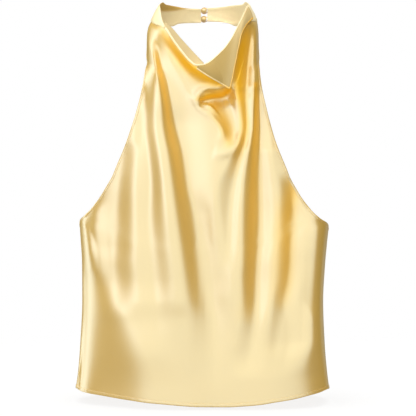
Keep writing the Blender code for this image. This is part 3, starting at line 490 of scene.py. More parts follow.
def front_depth(x, seen):
    """Depth of the front's face at places of its front elevation, by Newton's
    steps from a first guess."""
    x, seen = np.asarray(x, float), np.asarray(seen, float)
    s, h = np.clip(x / (100 * MM), -0.9, 0.9), seen + 30 * MM
    for _ in range(14):
        s, h = np.clip(s, -0.99, 0.99), np.clip(h, -0.4, SEAM_Z)
        x0, _, z0 = front_shape(s, h)
        x1, _, z1 = front_shape(s + 1e-3, h)
        x2, _, z2 = front_shape(s, h - 1 * MM)
        xs, zs, xh, zh = ((x1 - x0) / 1e-3, (z1 - z0) / 1e-3,
                          (x0 - x2) / MM, (z0 - z2) / MM)
        det = xs * zh - xh * zs
        det = np.where(np.abs(det) < 1e-4, 1e-4, det)
        dx, dz = x - x0, seen - z0
        s = s + np.clip((dx * zh - dz * xh) / det, -0.15, 0.15)
        h = h + np.clip((dz * xs - dx * zs) / det, -20 * MM, 20 * MM)
    return front_shape(np.clip(s, -0.99, 0.99), np.clip(h, -0.4, SEAM_Z))[1]


def glow(x, height):
    total = np.zeros_like(x)
    for rows in PAINTED_GLOW_PATHS.values():
        total = np.maximum(total, path_fold(x / MM, height / MM, rows))
    return np.clip(total, 0, 1)


def spread(count, density, low, high):
    """count + 1 places between low and high, closer where density is high."""
    t = np.linspace(low, high, 4001)
    total = np.concatenate([[0], np.cumsum((density(t)[1:] + density(t)[:-1]) / 2)])
    return np.interp(np.linspace(0, total[-1], count + 1), total, t)


# ----------------------------------------------------------------- materials
def node_material(name, colour, roughness, variation, weave, bump, painted_shading_colour=None,
                  painted_reflection_tint=None, **sockets):
    """Woven satin: slight colour and roughness variation and a fine weave, and,
    when given, light and shade painted into the base colour from a mesh attribute.
    """
    m = bpy.data.materials.new(name)
    m.use_nodes = True
    nodes, links = m.node_tree.nodes, m.node_tree.links
    shader = nodes["Principled BSDF"]
    for key, value in sockets.items():
        shader.inputs[key.replace("_", " ")].default_value = value
    place_ = nodes.new("ShaderNodeTexCoord")
    # slow uneven tone, a few centimetres across
    slow = nodes.new("ShaderNodeTexNoise")
    slow.inputs["Scale"].default_value = 16.0
    slow.inputs["Detail"].default_value = 3.0
    links.new(place_.outputs["Object"], slow.inputs["Vector"])
    ramp = nodes.new("ShaderNodeValToRGB")
    ramp.color_ramp.elements[0].position = 0.3
    ramp.color_ramp.elements[1].position = 0.7
    ramp.color_ramp.elements[0].color = (*[c * (1 - variation) for c in colour], 1)
    ramp.color_ramp.elements[1].color = (*[min(c * (1 + variation), 1) for c in colour], 1)
    links.new(slow.outputs["Fac"], ramp.inputs["Fac"])
    if painted_shading_colour:
        # painted light and shade: a mesh attribute mixes the base colour towards the painted colour, more orange
        # in the folds, darker or paler elsewhere
        painted_shading = nodes.new("ShaderNodeAttribute")
        painted_shading.attribute_name = "painted_shading"
        mix = nodes.new("ShaderNodeMix")
        mix.data_type = "RGBA"
        mix.inputs["B"].default_value = (*painted_shading_colour, 1)
        links.new(painted_shading.outputs["Fac"], mix.inputs["Factor"])
        links.new(ramp.outputs["Color"], mix.inputs["A"])
        links.new(mix.outputs["Result"], shader.inputs["Base Color"])
        if painted_reflection_tint:
            # painted reflection: there the gloss is tinted gold, as if it mirrored the gold of the cloth opposite
            gold = nodes.new("ShaderNodeMix")
            gold.data_type = "RGBA"
            gold.inputs["A"].default_value = (1, 1, 1, 1)
            gold.inputs["B"].default_value = (*painted_reflection_tint, 1)
            links.new(painted_shading.outputs["Fac"], gold.inputs["Factor"])
            links.new(gold.outputs["Result"], shader.inputs["Specular Tint"])
    else:
        links.new(ramp.outputs["Color"], shader.inputs["Base Color"])
    # threads, from the cloth's own flat sizes
    uv = nodes.new("ShaderNodeUVMap")
    uv.uv_map = "flat"
    warp = nodes.new("ShaderNodeMapping")
    warp.inputs["Scale"].default_value = (weave, weave * 0.12, 1)
    warp.inputs["Rotation"].default_value = (0, 0, math.radians(45))
    links.new(uv.outputs["UV"], warp.inputs["Vector"])
    threads = nodes.new("ShaderNodeTexNoise")
    threads.inputs["Scale"].default_value = 1.0
    threads.inputs["Detail"].default_value = 2.0
    links.new(warp.outputs["Vector"], threads.inputs["Vector"])
    rough = nodes.new("ShaderNodeMapRange")
    rough.inputs["To Min"].default_value = roughness - 0.03
    rough.inputs["To Max"].default_value = roughness + 0.03
    links.new(threads.outputs["Fac"], rough.inputs["Value"])
    if painted_shading_colour:
        # in the deep folds the gloss is spread out
        dull = nodes.new("ShaderNodeMath")
        dull.operation = "MULTIPLY_ADD"
        dull.inputs[1].default_value = 0.08
        links.new(painted_shading.outputs["Fac"], dull.inputs[0])
        links.new(rough.outputs["Result"], dull.inputs[2])
        links.new(dull.outputs[0], shader.inputs["Roughness"])
    else:
        links.new(rough.outputs["Result"], shader.inputs["Roughness"])
    relief = nodes.new("ShaderNodeBump")
    relief.inputs["Strength"].default_value = bump
    relief.inputs["Distance"].default_value = 0.00006
    links.new(threads.outputs["Fac"], relief.inputs["Height"])
    links.new(relief.outputs["Normal"], shader.inputs["Normal"])
    return m


# In the folds the satin is painted orange, for the light the folds throw on each other, and its gloss is painted
# gold there, a painted reflection.
SATIN = node_material("satin", (0.69, 0.42, 0.066), 0.34, 0.02, 3200, 0.04,
                      painted_shading_colour=(1.0, 0.47, 0.01), painted_reflection_tint=(1.0, 0.72, 0.14),
                      Metallic=0.0, IOR=2.2, Specular_IOR_Level=0.9)
# Painted light: the neckband is a lighter copy of the satin, for the light its shaded inner face lacks; its
# painted colour is painted shade near the top corner.
BAND_PAINTED_LIGHTER = node_material("satin_band_painted_lighter", (0.93, 0.76, 0.42), 0.45, 0.02, 3200, 0.04,
                     painted_shading_colour=(0.60, 0.37, 0.07),
                     Metallic=0.0, IOR=1.8, Specular_IOR_Level=0.4)
# Painted highlight: the turned neckline edge is a paler copy of the satin, coloured as if it caught the light.
EDGE_PAINTED_HIGHLIGHT = node_material("satin_edge_painted_highlight", (0.95, 0.78, 0.44), 0.36, 0.02, 3200, 0.04,
                     Metallic=0.0, IOR=2.0, Specular_IOR_Level=0.8)
CORD = node_material("satin_cord", (0.62, 0.36, 0.08), 0.42, 0.04, 3200, 0.10,
                     Metallic=0.0, IOR=1.8, Specular_IOR_Level=0.6)
# Where the mesh's painted attribute asks, the wrong side is painted paler, for light falling on it.
WRONG = node_material("satin_wrong_side", (0.44, 0.285, 0.072), 0.60, 0.03, 2600,
                      0.20, painted_shading_colour=(0.60, 0.45, 0.20), Metallic=0.0, IOR=1.6, Specular_IOR_Level=0.5)
# Painted light: a paler copy of the wrong side for the inner facing, coloured for the brighter light on it.
WRONG_SIDE_PAINTED_LIGHTER = node_material("satin_wrong_side_painted_lighter", (0.67, 0.51, 0.245), 0.60, 0.03,
                           2600, 0.20, Metallic=0.0, IOR=1.6, Specular_IOR_Level=0.5)
THREAD = node_material("thread", (0.90, 0.66, 0.28), 0.5, 0.02, 4000, 0.3,
                       Metallic=0.0, IOR=1.7, Specular_IOR_Level=0.6)
PEARL = node_material("button", (0.80, 0.56, 0.21), 0.24, 0.05, 400, 0.02,
                      Metallic=0.1, IOR=1.9, Specular_IOR_Level=0.9,
                      Coat_Weight=0.6, Coat_Roughness=0.08)


# ------------------------------------------------------------ mesh functions
def finish_mesh(name, mesh, materials, node=None, slot="satin"):
    mesh.update()
    mesh.shade_smooth()
    obj = bpy.data.objects.new(name, mesh)
    bpy.context.scene.collection.objects.link(obj)
    for m in materials:
        mesh.materials.append(m)
    if node:
        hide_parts(node)
    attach(obj, "root")
    return obj


def grid_object(name, grid, materials, uv=None, face_material=None, **words):
    """A quad sheet; its face looks towards the side from which rows run up
    and columns run right."""
    rows, cols = grid.shape[:2]
    idx = np.arange(rows * cols).reshape(rows, cols)
    faces = np.stack([idx[:-1, :-1], idx[:-1, 1:], idx[1:, 1:], idx[1:, :-1]],
                     axis=-1).reshape(-1, 4)
    mesh = bpy.data.meshes.new(name)
    mesh.from_pydata(grid.reshape(-1, 3).tolist(), [], faces.tolist())
    if uv is None:
        step = np.linalg.norm(np.diff(grid, axis=1), axis=-1).mean(axis=0)
        rise = np.linalg.norm(np.diff(grid, axis=0), axis=-1).mean(axis=1)
        u = np.concatenate([[0], np.cumsum(step)])
        v = np.concatenate([[0], np.cumsum(rise)])
        uv = np.stack(np.meshgrid(u, v), axis=-1)
    flat = uv.reshape(-1, 2)
    layer = mesh.uv_layers.new(name="flat")
    loops = np.empty(len(mesh.loops), dtype=np.int64)
    mesh.loops.foreach_get("vertex_index", loops)
    layer.data.foreach_set("uv", flat[loops].astype(np.float32).ravel())
    if face_material is not None:
        values = np.asarray(face_material, dtype=np.int32).reshape(-1)
        mesh.polygons.foreach_set("material_index", values)
    return finish_mesh(name, mesh, materials, **words)


def thicken(obj, thickness=CLOTH, inside=1, rim=0):
    solid = obj.modifiers.new("Cloth", "SOLIDIFY")
    solid.thickness = thickness
    solid.offset = -1.0
    solid.use_even_offset = False
    solid.use_quality_normals = True
    solid.use_rim = True
    solid.material_offset = inside
    solid.material_offset_rim = rim
    return obj


def sweep(name, path, up, out, profile, materials, caps=True, **words):
    """A closed profile (u along up, v along out) carried along a path."""
    profile = np.asarray(profile, float)
    if profile.ndim == 2:
        profile = np.broadcast_to(profile, (len(path), *profile.shape))
    ring = (path[:, None] + profile[..., :1] * up[:, None]
            + profile[..., 1:] * out[:, None])
    n, m = ring.shape[:2]
    bm = bmesh.new()
    verts = [[bm.verts.new(ring[i, j]) for j in range(m)] for i in range(n)]
    uvl = bm.loops.layers.uv.new("flat")
    along = np.concatenate([[0], np.cumsum(np.linalg.norm(np.diff(path, axis=0), axis=1))])
    round_ = np.concatenate([[0], np.cumsum(np.linalg.norm(
        np.diff(np.concatenate([ring[0], ring[0][:1]]), axis=0), axis=1))])
    for i in range(n - 1):
        for j in range(m):
            k = (j + 1) % m
            face = bm.faces.new((verts[i][j], verts[i][k], verts[i + 1][k],
                                 verts[i + 1][j]))
            for loop, (a, b) in zip(face.loops, ((i, j), (i, j + 1), (i + 1, j + 1),
                                                 (i + 1, j))):
                loop[uvl].uv = (round_[b], along[a])
    if caps:
        bm.faces.new([verts[0][j] for j in reversed(range(m))])
        bm.faces.new([verts[-1][j] for j in range(m)])
    bmesh.ops.recalc_face_normals(bm, faces=bm.faces)
    mesh = bpy.data.meshes.new(name)
    bm.to_mesh(mesh)
    bm.free()
    return finish_mesh(name, mesh, materials, **words)


def resample(points, step):
    along = np.concatenate([[0], np.cumsum(np.linalg.norm(np.diff(points, axis=0), axis=1))])
    at = np.linspace(0, along[-1], max(int(along[-1] / step), 2) + 1)
    return np.stack([np.interp(at, along, points[:, i]) for i in range(3)], axis=-1), at, along


def stitches(name, path, up, out, length=1.9 * MM, pitch=2.6 * MM, radius=0.16 * MM,
             lift=0.08 * MM):
    """Short threads along a path, each dipping into the cloth at its ends."""
    line, at, along = resample(path, pitch)
    ups = unit(np.stack([np.interp(at, along, up[:, i]) for i in range(3)], axis=-1))
    outs = unit(np.stack([np.interp(at, along, out[:, i]) for i in range(3)], axis=-1))
    tangents = unit(np.gradient(line, axis=0))
    rings, sides = 5, 6
    t = np.linspace(-1, 1, rings)
    fat = np.sqrt(np.clip(1 - 0.75 * t**2, 0, 1))
    a = np.linspace(0, 2 * math.pi, sides, endpoint=False)
    verts, faces = [], []
    for p, T, U, N in zip(line[:-1], tangents, ups, outs):
        base = len(verts)
        for i in range(rings):
            centre = p + T * (t[i] * length / 2) + N * (lift + radius * (0.6 - t[i]**2))
            for k in range(sides):
                verts.append(centre + radius * fat[i] * (math.cos(a[k]) * U + math.sin(a[k]) * N))
        for i in range(rings - 1):
            for k in range(sides):
                q = (k + 1) % sides
                faces.append((base + i * sides + k, base + i * sides + q,
                              base + (i + 1) * sides + q, base + (i + 1) * sides + k))
        faces.append(tuple(base + k for k in reversed(range(sides))))
        faces.append(tuple(base + (rings - 1) * sides + k for k in range(sides)))
    mesh = bpy.data.meshes.new(name)
    mesh.from_pydata([tuple(v) for v in verts], [], faces)
    bm = bmesh.new()
    bm.from_mesh(mesh)
    bmesh.ops.recalc_face_normals(bm, faces=bm.faces)
    bm.to_mesh(mesh)
    bm.free()
    mesh.uv_layers.new(name="flat")
    return finish_mesh(name, mesh, [THREAD])


def frames(function, s, height, ds=2e-3, dh=1.0 * MM, sign=1):
    """Points, up and outward directions on the front at (s, height)."""
    here = function(s, height)
    across = function(s + ds, height) - function(s - ds, height)
    rise = function(s, height + dh) - function(s, height - dh)
    out = unit(np.cross(across, rise)) * sign
    return here, unit(rise), out, unit(across)


def hem_profile(width, thick, inner=0.7 * MM):
    """A narrow turned edge: u runs up the cloth from its edge, v outwards."""
    w, t = width, thick
    return np.array([
        (w, -inner - 0.2 * t), (w, 0.05 * MM), (w * 0.97, 0.45 * t), (w * 0.86, 0.75 * t),
        (w * 0.6, 0.95 * t), (w * 0.3, 1.0 * t), (w * 0.08, 0.8 * t), (-0.06 * w, 0.3 * t),
        (-0.10 * w, -0.35 * inner), (-0.05 * w, -inner - 0.3 * t), (w * 0.12, -inner - 0.75 * t),
        (w * 0.4, -inner - 0.9 * t), (w * 0.8, -inner - 0.7 * t)])


# --------------------------------------------------------------------- front
def front_rows():
    def density(z):
        d = np.full_like(z, 1 / 2.9)
        d += (1 / 1.55 - 1 / 2.9) * ease((z / MM + 225) / 40)
        d += 0.7 * np.exp(-np.abs(z / MM + 541) / 5)
        d += 0.5 * np.exp(-np.abs(z / MM + 9.4) / 4)
        return d
    return spread(236, density, HEM_Z, SEAM_Z)


def front_columns():
    # the rings' squareness draws columns apart in the middle and at the sides
    def density(s):
        return (0.35 + 0.5 * (np.abs(s) + 0.0015) ** -0.42
                + 0.28 * (1 - np.abs(s) + 0.0015) ** -0.42)
    return spread(200, density, -1, 1)


def make_front():
    s, h = np.meshgrid(front_columns(), front_rows())
    grid = front_surface(s, h)
    ring = ring_sizes(h)
    u = s * 1.15 * np.where(s < 0, ring["left"], ring["right"]) * MM
    uv = np.stack([u, h - HEM_Z], axis=-1)
    obj = grid_object("front_panel_cloth", grid, [SATIN, WRONG], uv=uv, node="front_panel")
    x, _, seen = front_shape(s, h)
    # painted light and shade: along the glow paths the cloth is painted more orange, for folds that light each
    # other
    painted_shading = obj.data.attributes.new("painted_shading", "FLOAT", "POINT")
    painted_shading.data.foreach_set("value", glow(x, seen).astype(np.float32).ravel())
    return thicken(obj)


def neckline_frames(degrees):
    top = ring_sizes(np.full_like(degrees, SEAM_Z))
    wrap = np.where(degrees < 0, top["wrap_left"], top["wrap_right"])
    s = degrees / wrap
    h = np.full_like(s, SEAM_Z)
    here = front_surface(s, h)
    across = front_surface(s + 2e-3, h) - front_surface(s - 2e-3, h)
    rise = here - front_surface(s, h - 1.5 * MM)
    out = unit(np.cross(across, rise))
    return here, unit(rise), out, unit(across)


def band_lines(rows, side, columns, start=0.25):
    knots = np.arange(len(rows), dtype=float)
    at = np.linspace(start, len(rows) - 1, columns + 1)
    foot_deg = smooth(knots, column(rows, 0), at)
    foot_z = smooth(knots, column(rows, 1), at) * MM
    top_x = smooth(knots, column(rows, 2), at) * MM
    top_y = smooth(knots, column(rows, 3), at) * MM
    top_z = smooth(knots, column(rows, 4), at) * MM
    last = RINGS[-1]
    fx, fy = ring_point(foot_deg * side, last[2], last[3], last[7],
                        NECK_BACK_DEPTH, last[8])
    # behind the side the band stands upright
    fy = np.where(fy > 0, fy * BAND_BACK_DEPTH / NECK_BACK_DEPTH, fy)
    own = np.stack([fx * MM, fy * MM, foot_z], axis=-1)
    seam, _, _, _ = neckline_frames(np.minimum(foot_deg, 106.9) * side)
    behind = ease((foot_deg - 107) / 12)[:, None]
    foot = seam * (1 - behind) + own * behind
    top = place(side * top_x, top_y, top_z)
    behind = behind[:, 0]
    top[..., 2] = top[..., 2] * (1 - behind) + top_z * behind
    return foot, top, at


def make_band(name, rows, side, node):
    """A folded strip, a little puffed, with a crease near each edge."""
    foot, top, at = band_lines(rows, side, 150)
    rowsn = 22
    v = 0.5 - 0.5 * np.cos(np.linspace(0, math.pi, rowsn))
    tall = np.linalg.norm(top - foot, axis=-1)
    outward = unit(foot * np.array([1, 1, 0]))
    rise = unit(top - foot)
    along = unit(np.gradient(foot + top, axis=0)) * side
    normal = unit(np.cross(along, rise))
    normal = np.where((normal * outward).sum(-1, keepdims=True) < 0, -normal, normal)
    arc = np.concatenate([[0], np.cumsum(np.linalg.norm(np.diff(foot, axis=0), axis=1))])
    thick = 1.5 * MM
    shell, shade = [], []
    for face in (1, -1):
        for k in (range(rowsn) if face > 0 else reversed(range(rowsn))):
            t = v[k]
            bow = 1.2 * MM * 4 * t * (1 - t)
            half = thick / 2 * (1 - (2 * t - 1) ** 8) ** 0.5
            half += 0.22 * MM * np.exp(-((t - 0.12) / 0.06) ** 2)
            half += 0.22 * MM * np.exp(-((t - 0.88) / 0.06) ** 2)
            half -= 0.18 * MM * np.exp(-((t - 0.22) / 0.05) ** 2)
            # soft pulls along the strip
            pull = 0.35 * MM * waves(arc * 18 + 0.7 * t, 11 + side) * (1 - t) ** 2
            pull += 0.25 * MM * waves(arc * 9 - 1.1 * t, 21 + side)
            shell.append(foot + (top - foot) * t
                         + normal * (bow + face * half + pull)[:, None])
            # painted shade: on the button side the inner face is painted darker towards the top corner, standing
            # in for the shade where the top edge rolls in
            wedge = np.clip((np.abs(top[:, 0]) / MM - 14) / 46, 0, 1) * (top[:, 1] > -20 * MM)
            shade.append(wedge.astype(bool) * (side < 0) * (face < 0)
                         * ease((t - (1 - 0.5 * wedge)) / 0.16))
    ring = np.stack(shell, axis=1)          # along, round
    n, m = ring.shape[:2]
    mesh = bpy.data.meshes.new(name)
    idx = np.arange(n * m).reshape(n, m)
    nxt = np.roll(idx, -1, axis=1)
    faces = np.stack([idx[:-1], nxt[:-1], nxt[1:], idx[1:]], axis=-1).reshape(-1, 4).tolist()
    faces.append(list(reversed(idx[0].tolist())))
    faces.append(idx[-1].tolist())
    mesh.from_pydata(ring.reshape(-1, 3).tolist(), [], faces)
    bm = bmesh.new()
    bm.from_mesh(mesh)
    bmesh.ops.recalc_face_normals(bm, faces=bm.faces)
    bm.to_mesh(mesh)
    bm.free()
    layer = mesh.uv_layers.new(name="flat")
    u = np.repeat(arc, m)
    w = np.tile(np.concatenate([v, 2 - v[::-1]]) * float(tall.mean()), n)
    loops = np.empty(len(mesh.loops), dtype=np.int64)
    mesh.loops.foreach_get("vertex_index", loops)
    layer.data.foreach_set("uv", np.stack([u, w], -1)[loops].astype(np.float32).ravel())
    painted_shading = mesh.attributes.new("painted_shading", "FLOAT", "POINT")
    painted_shading.data.foreach_set("value", np.stack(shade, axis=1).astype(np.float32).ravel())
    obj = finish_mesh(name, mesh, [BAND_PAINTED_LIGHTER], node=node)
    return obj, foot, top, normal


def make_facing_inner():
    knots = column(FACING_INNER, 0)
    degrees = np.linspace(knots[0], knots[-1], 90)
    edge, _, n, _ = neckline_frames(degrees)
    edge = edge - n * 1.1 * MM
    free = place(*(smooth(knots, column(FACING_INNER, i), degrees) * MM
                   for i in (1, 2, 3)))
    t = np.linspace(0, 1, 16)[:, None, None]
    grid = edge[None] * (1 - t) + free[None] * t
    sag = 1.0 * MM * 4 * t * (1 - t)
    grid = grid + sag * n[None] * 0.6
    return thicken(grid_object("facing_inner_cloth", grid, [WRONG_SIDE_PAINTED_LIGHTER, SATIN],
                               node="facing_inner", slot="satin_wrong_side"),
                   0.6 * MM)


def make_facing_out():
    knots = np.arange(len(FACING_OUT), dtype=float)
    at = np.linspace(0, len(FACING_OUT) - 1, 110)
    ex, ez, ey, ox, oz, oy = (smooth(knots, column(FACING_OUT, i), at) * MM
                              for i in range(6))
    t = np.linspace(0, 1, 34)
    share = t[:, None]
    gx, gy, gz = (a[None] * (1 - share) + b[None] * share
                  for a, b in ((ox, ex), (oy, ey), (oz, ez)))
    # it lies on the cloth in front, a little clear of it
    behind = front_depth(gx, gz)
    over = ease((-6 * MM - gz) / (14 * MM))
    clear = 0.8 * MM + 2.2 * MM * np.clip((1 - share) / 0.2, 0, 1)
    gy = gy + over * (np.minimum(gy, behind - clear) - gy)
    for _ in range(12):
        gy[1:-1] = 0.25 * gy[:-2] + 0.5 * gy[1:-1] + 0.25 * gy[2:]
    flat = place(gx, gy, gz)
    outer, edge = flat[0], flat[-1]
    inward = unit(edge - outer)
    along = unit(np.gradient(outer, axis=0))
    face = unit(np.cross(along, inward))
    face = np.where(face[:, 1:2] > 0, -face, face)
    # the flap bellies a little between its fold and the neckline
    width = np.linalg.norm(edge - outer, axis=-1)
    belly = 0.05 * width[None] * np.sin(math.pi * t[:, None]) ** 1.0
    flat = flat + belly[..., None] * face[None]
    # the fold: round the rim and back under
    r = 1.3 * MM
    turn = []
    for a in np.linspace(math.pi, 0, 9)[:-1]:
        turn.append(outer - inward * (r * math.sin(a)) * 1.0 - face * (r * (1 + math.cos(a - math.pi) * -1)) * 0.5)
    under = []
    for d in np.linspace(7 * MM, 0, 6)[:-1]:
        under.append(outer + inward * np.minimum(d, width * 0.5)[:, None] - face * (2 * r) * 0.5)
    grid = np.concatenate([np.stack(under), np.stack(turn)[0:], flat], axis=0)
    n_turn = len(under) + len(turn)
    mats = np.zeros((grid.shape[0] - 1, grid.shape[1] - 1), dtype=int)
    mats[:n_turn - 2] = 1
    obj = grid_object("facing_turned_out_cloth", grid, [WRONG, SATIN],
                      face_material=mats, node="facing_turned_out",
                      slot="satin_wrong_side")
    # painted light: the cloth is painted paler where the bias turns upright, towards the band, for the light that
    # falls on it there
    x, z = grid[..., 0] / MM, grid[..., 2] / MM
    pale = (np.exp(-((x - 38 - 0.16 * (z + 90)) / 7.0) ** 2) * 0.55
            + 0.6 * ease((z + 55) / 45))
    painted_shading = obj.data.attributes.new("painted_shading", "FLOAT", "POINT")
    painted_shading.data.foreach_set("value", np.clip(pale, 0, 1).astype(np.float32).ravel())
    return thicken(obj, 0.5 * MM)


# ---------------------------------------------------------------------- back
def back_surface(degrees, t):
    """The back's outer face, 90 to 270 degrees; t runs from hem to top."""
    middle = np.abs(np.cos(np.radians(degrees)))
    side_top = UNDERARM_Z - 5.0 * MM * (270 - degrees) / 180
    top = side_top - BACK_DIP * ease(middle)
    bottom = HEM_Z - 0.35 * HEM_DROP * middle
    z = bottom + (top - bottom) * t
    level = HEM_Z + (UNDERARM_Z - HEM_Z) * t
    knots = column(RINGS, 1)
    at = level / MM
    left = smooth(knots, column(RINGS, 2), at)
    right = smooth(knots, column(RINGS, 3), at)
    depth = smooth((-541, -478, -413, -358, -303), (106, 101, 94, 95, 99), at)
    a = np.radians(degrees)
    power = 2.0 / 2.2
    half = np.where(np.sin(a) < 0, left, right)
    x = half * np.sign(np.sin(a)) * np.abs(np.sin(a)) ** power
    y = depth * np.abs(np.cos(a)) ** power
    for top_x, hem_x, drop, half_width in BACK_FOLDS:
        mid = hem_x + (top_x - hem_x) * t
        y = y - (drop * (1 - 0.55 * t) * np.exp(-((x - mid) / half_width) ** 2)
                 * ease(-np.cos(a) / 0.4))
    # finer folds between the main ones
    y = y + 1.2 * waves(x / 200 + 0.35 * t, 31, 6, 2.0, 6.0) * ease(-np.cos(a) / 0.4)
    return np.stack([x * MM, y * MM, z], axis=-1)


def make_back():
    d, t = np.meshgrid(np.linspace(90, 270, 181), spread(110, lambda q: 1 + 2 * np.exp(-q / .02) + 2 * np.exp(-(1 - q) / .02), 0, 1))
    grid = back_surface(d, t)
    return thicken(grid_object("back_panel_cloth", grid, [SATIN, WRONG], node="back_panel"))


# --------------------------------------------------------------- trimmings
def front_hem():
    s = np.linspace(-1, 1, 520)
    here, up, out, _ = frames(front_surface, s, np.full_like(s, HEM_Z + 1.2 * MM))
    edge = front_surface(s, np.full_like(s, HEM_Z))
    pucker = waves(s * 14, 3, 7, 1.0, 5.0)
    prof = np.stack([hem_profile(4.6 * MM, 0.55 * MM)] * len(s))
    prof = prof.copy()
    prof[..., 1] *= (1 + 0.25 * pucker)[:, None]
    prof[..., 0] *= (1 + 0.04 * waves(s * 9, 5))[:, None]
    hem = sweep("hem_front", edge, up, out, prof, [SATIN], slot="satin")
    line = edge + up * (4.0 * MM) + out * (0.5 * MM)
    st = stitches("hem_front_stitches", line, up, out)
    return hem, st


def back_hem(which):
    d = np.linspace(90, 270, 420)
    t0 = np.zeros_like(d) if which == "hem" else np.ones_like(d)
    e = 0.004
    here = back_surface(d, t0)
    rise = back_surface(d, np.clip(t0 + e, 0, 1)) - back_surface(d, np.clip(t0 - e, 0, 1))
    rise = unit(rise)
    across = unit(np.gradient(here, axis=0))
    out = unit(np.cross(across, rise))
    out = np.where((out * here * np.array([1, 1, 0])).sum(-1, keepdims=True) < 0, -out, out)
    up = rise if which == "hem" else -rise
    prof = np.stack([hem_profile(4.6 * MM, 0.55 * MM)] * len(d)).copy()
    prof[..., 1] *= (1 + 0.25 * waves(d / 30, 7))[:, None]
    hem = sweep("hem_back" if which == "hem" else "back_top_edge", here, up, out,
                prof, [SATIN], slot="satin")
    st = stitches(("hem_back" if which == "hem" else "back_top_edge") + "_stitches",
                  here + up * (4.0 * MM) + out * (0.5 * MM), up, out)
    return hem, st


def armhole_edge(side):
    h = spread(330, lambda z: 1 + 0 * z, UNDERARM_Z, SEAM_Z)
    s = np.full_like(h, side)
    here = front_surface(s, h)
    inner = front_surface(s * 0.97, h)
    inward = unit(inner - here)
    tangent = unit(np.gradient(here, axis=0))
    out = unit(np.cross(tangent, inward)) * side * -1
    outward = here * np.array([1, 1, 0])
    out = np.where((out * outward).sum(-1, keepdims=True) < 0, -out, out)
    inward = unit(np.cross(out, tangent))
    inward = np.where((inward * (inner - here)).sum(-1, keepdims=True) < 0, -inward, inward)
    prof = np.stack([hem_profile(3.2 * MM, 0.5 * MM)] * len(h)).copy()
    prof[..., 1] *= (1 + 0.2 * waves(h * 30, 9))[:, None]
    name = "armhole_edge_minus_x" if side < 0 else "armhole_edge_plus_x"
    edge = sweep(name, here, inward, out, prof, [SATIN], slot="satin")
    st = stitches(name + "_stitches", here + inward * 2.7 * MM + out * 0.45 * MM,
                  inward, out)
    return edge, st


def side_seam(side):
    """The seam between front and back: a narrow sunk welt that closes it."""
    t = np.linspace(0, 1, 150)
    h = HEM_Z + (UNDERARM_Z - HEM_Z) * t
    a = front_surface(np.full_like(h, side), h)
    d = np.full_like(t, 90.0 if side > 0 else 270.0)
    b = back_surface(d, t)
    mid = (a + b) / 2
    out = np.stack([np.full_like(t, side), 0 * t, 0 * t], axis=-1)
    across = np.stack([0 * t, np.ones_like(t), 0 * t], axis=-1)
    ang = np.linspace(0, 2 * math.pi, 12, endpoint=False)
    prof = np.stack([1.1 * MM * np.cos(ang), -0.9 * MM + 0.75 * MM * np.sin(ang)], -1)
    return sweep("side_seam_minus_x" if side < 0 else "side_seam_plus_x", mid,
                 across, out, prof, [SATIN], slot="satin")


def neck_roll():
    """The turned edge of the neckline, up to the band's corners."""
    deg = np.linspace(-46, 44, 260)
    here, up, out, _ = neckline_frames(deg)
    _, left_top, _ = band_lines(BAND_LEFT, -1, 150, 0.0)
    _, right_top, _ = band_lines(BAND_RIGHT, 1, 150, 0.0)
    nl = int(150 * 3.7 / (len(BAND_LEFT) - 1))
    nr = int(150 * 3.7 / (len(BAND_RIGHT) - 1))
    path = np.concatenate([left_top[2:nl][::-1], here[2:-2], right_top[2:nr]])
    path, at, along = resample(path, 0.9 * MM)
    # soften the corner where the band's edge meets the neckline
    for _ in range(6):
        path[1:-1] = 0.25 * path[:-2] + 0.5 * path[1:-1] + 0.25 * path[2:]
    tangent = unit(np.gradient(path, axis=0))
    outward = unit(path * np.array([1, 1, 0]) * np.array([0.6, 1, 1]))
    side = unit(np.cross(tangent, outward))
    out = unit(np.cross(side, tangent))
    ang = np.linspace(0, 2 * math.pi, 14, endpoint=False)
    r = 1.4 * MM
    size = (1 + 0.06 * waves(at * 25, 13))
    taper = ease(np.minimum(at, at[-1] - at) / (16 * MM)) * 0.8 + 0.2
    prof = np.stack([np.outer(r * size * taper, np.cos(ang)),
                     np.outer(0.95 * r * size * taper, np.sin(ang))], -1)
    return sweep("neckline_edge", path, side, out, prof, [EDGE_PAINTED_HIGHLIGHT], slot="satin")


def make_button(name, x, z, node):
    bm = bmesh.new()
    bmesh.ops.create_uvsphere(bm, u_segments=40, v_segments=24, radius=BUTTON_RADIUS)
    for v in bm.verts:
        # slightly flattened in depth
        v.co.y *= 0.94
    bmesh.ops.create_cone(bm, cap_ends=True, segments=16, radius1=0.8 * MM,
                          radius2=0.8 * MM, depth=1.9 * MM,
                          matrix=Matrix.Translation((-3.5 * MM, 0, 0))
                          @ Matrix.Rotation(math.pi / 2, 4, "Y"))
    mesh = bpy.data.meshes.new(name)
    bm.to_mesh(mesh)
    bm.free()
    mesh.uv_layers.new(name="flat")
    obj = finish_mesh(name, mesh, [PEARL], node=node, slot="button")
    obj.location = (x * MM, BUTTON_DEPTH, z * MM)
    return obj


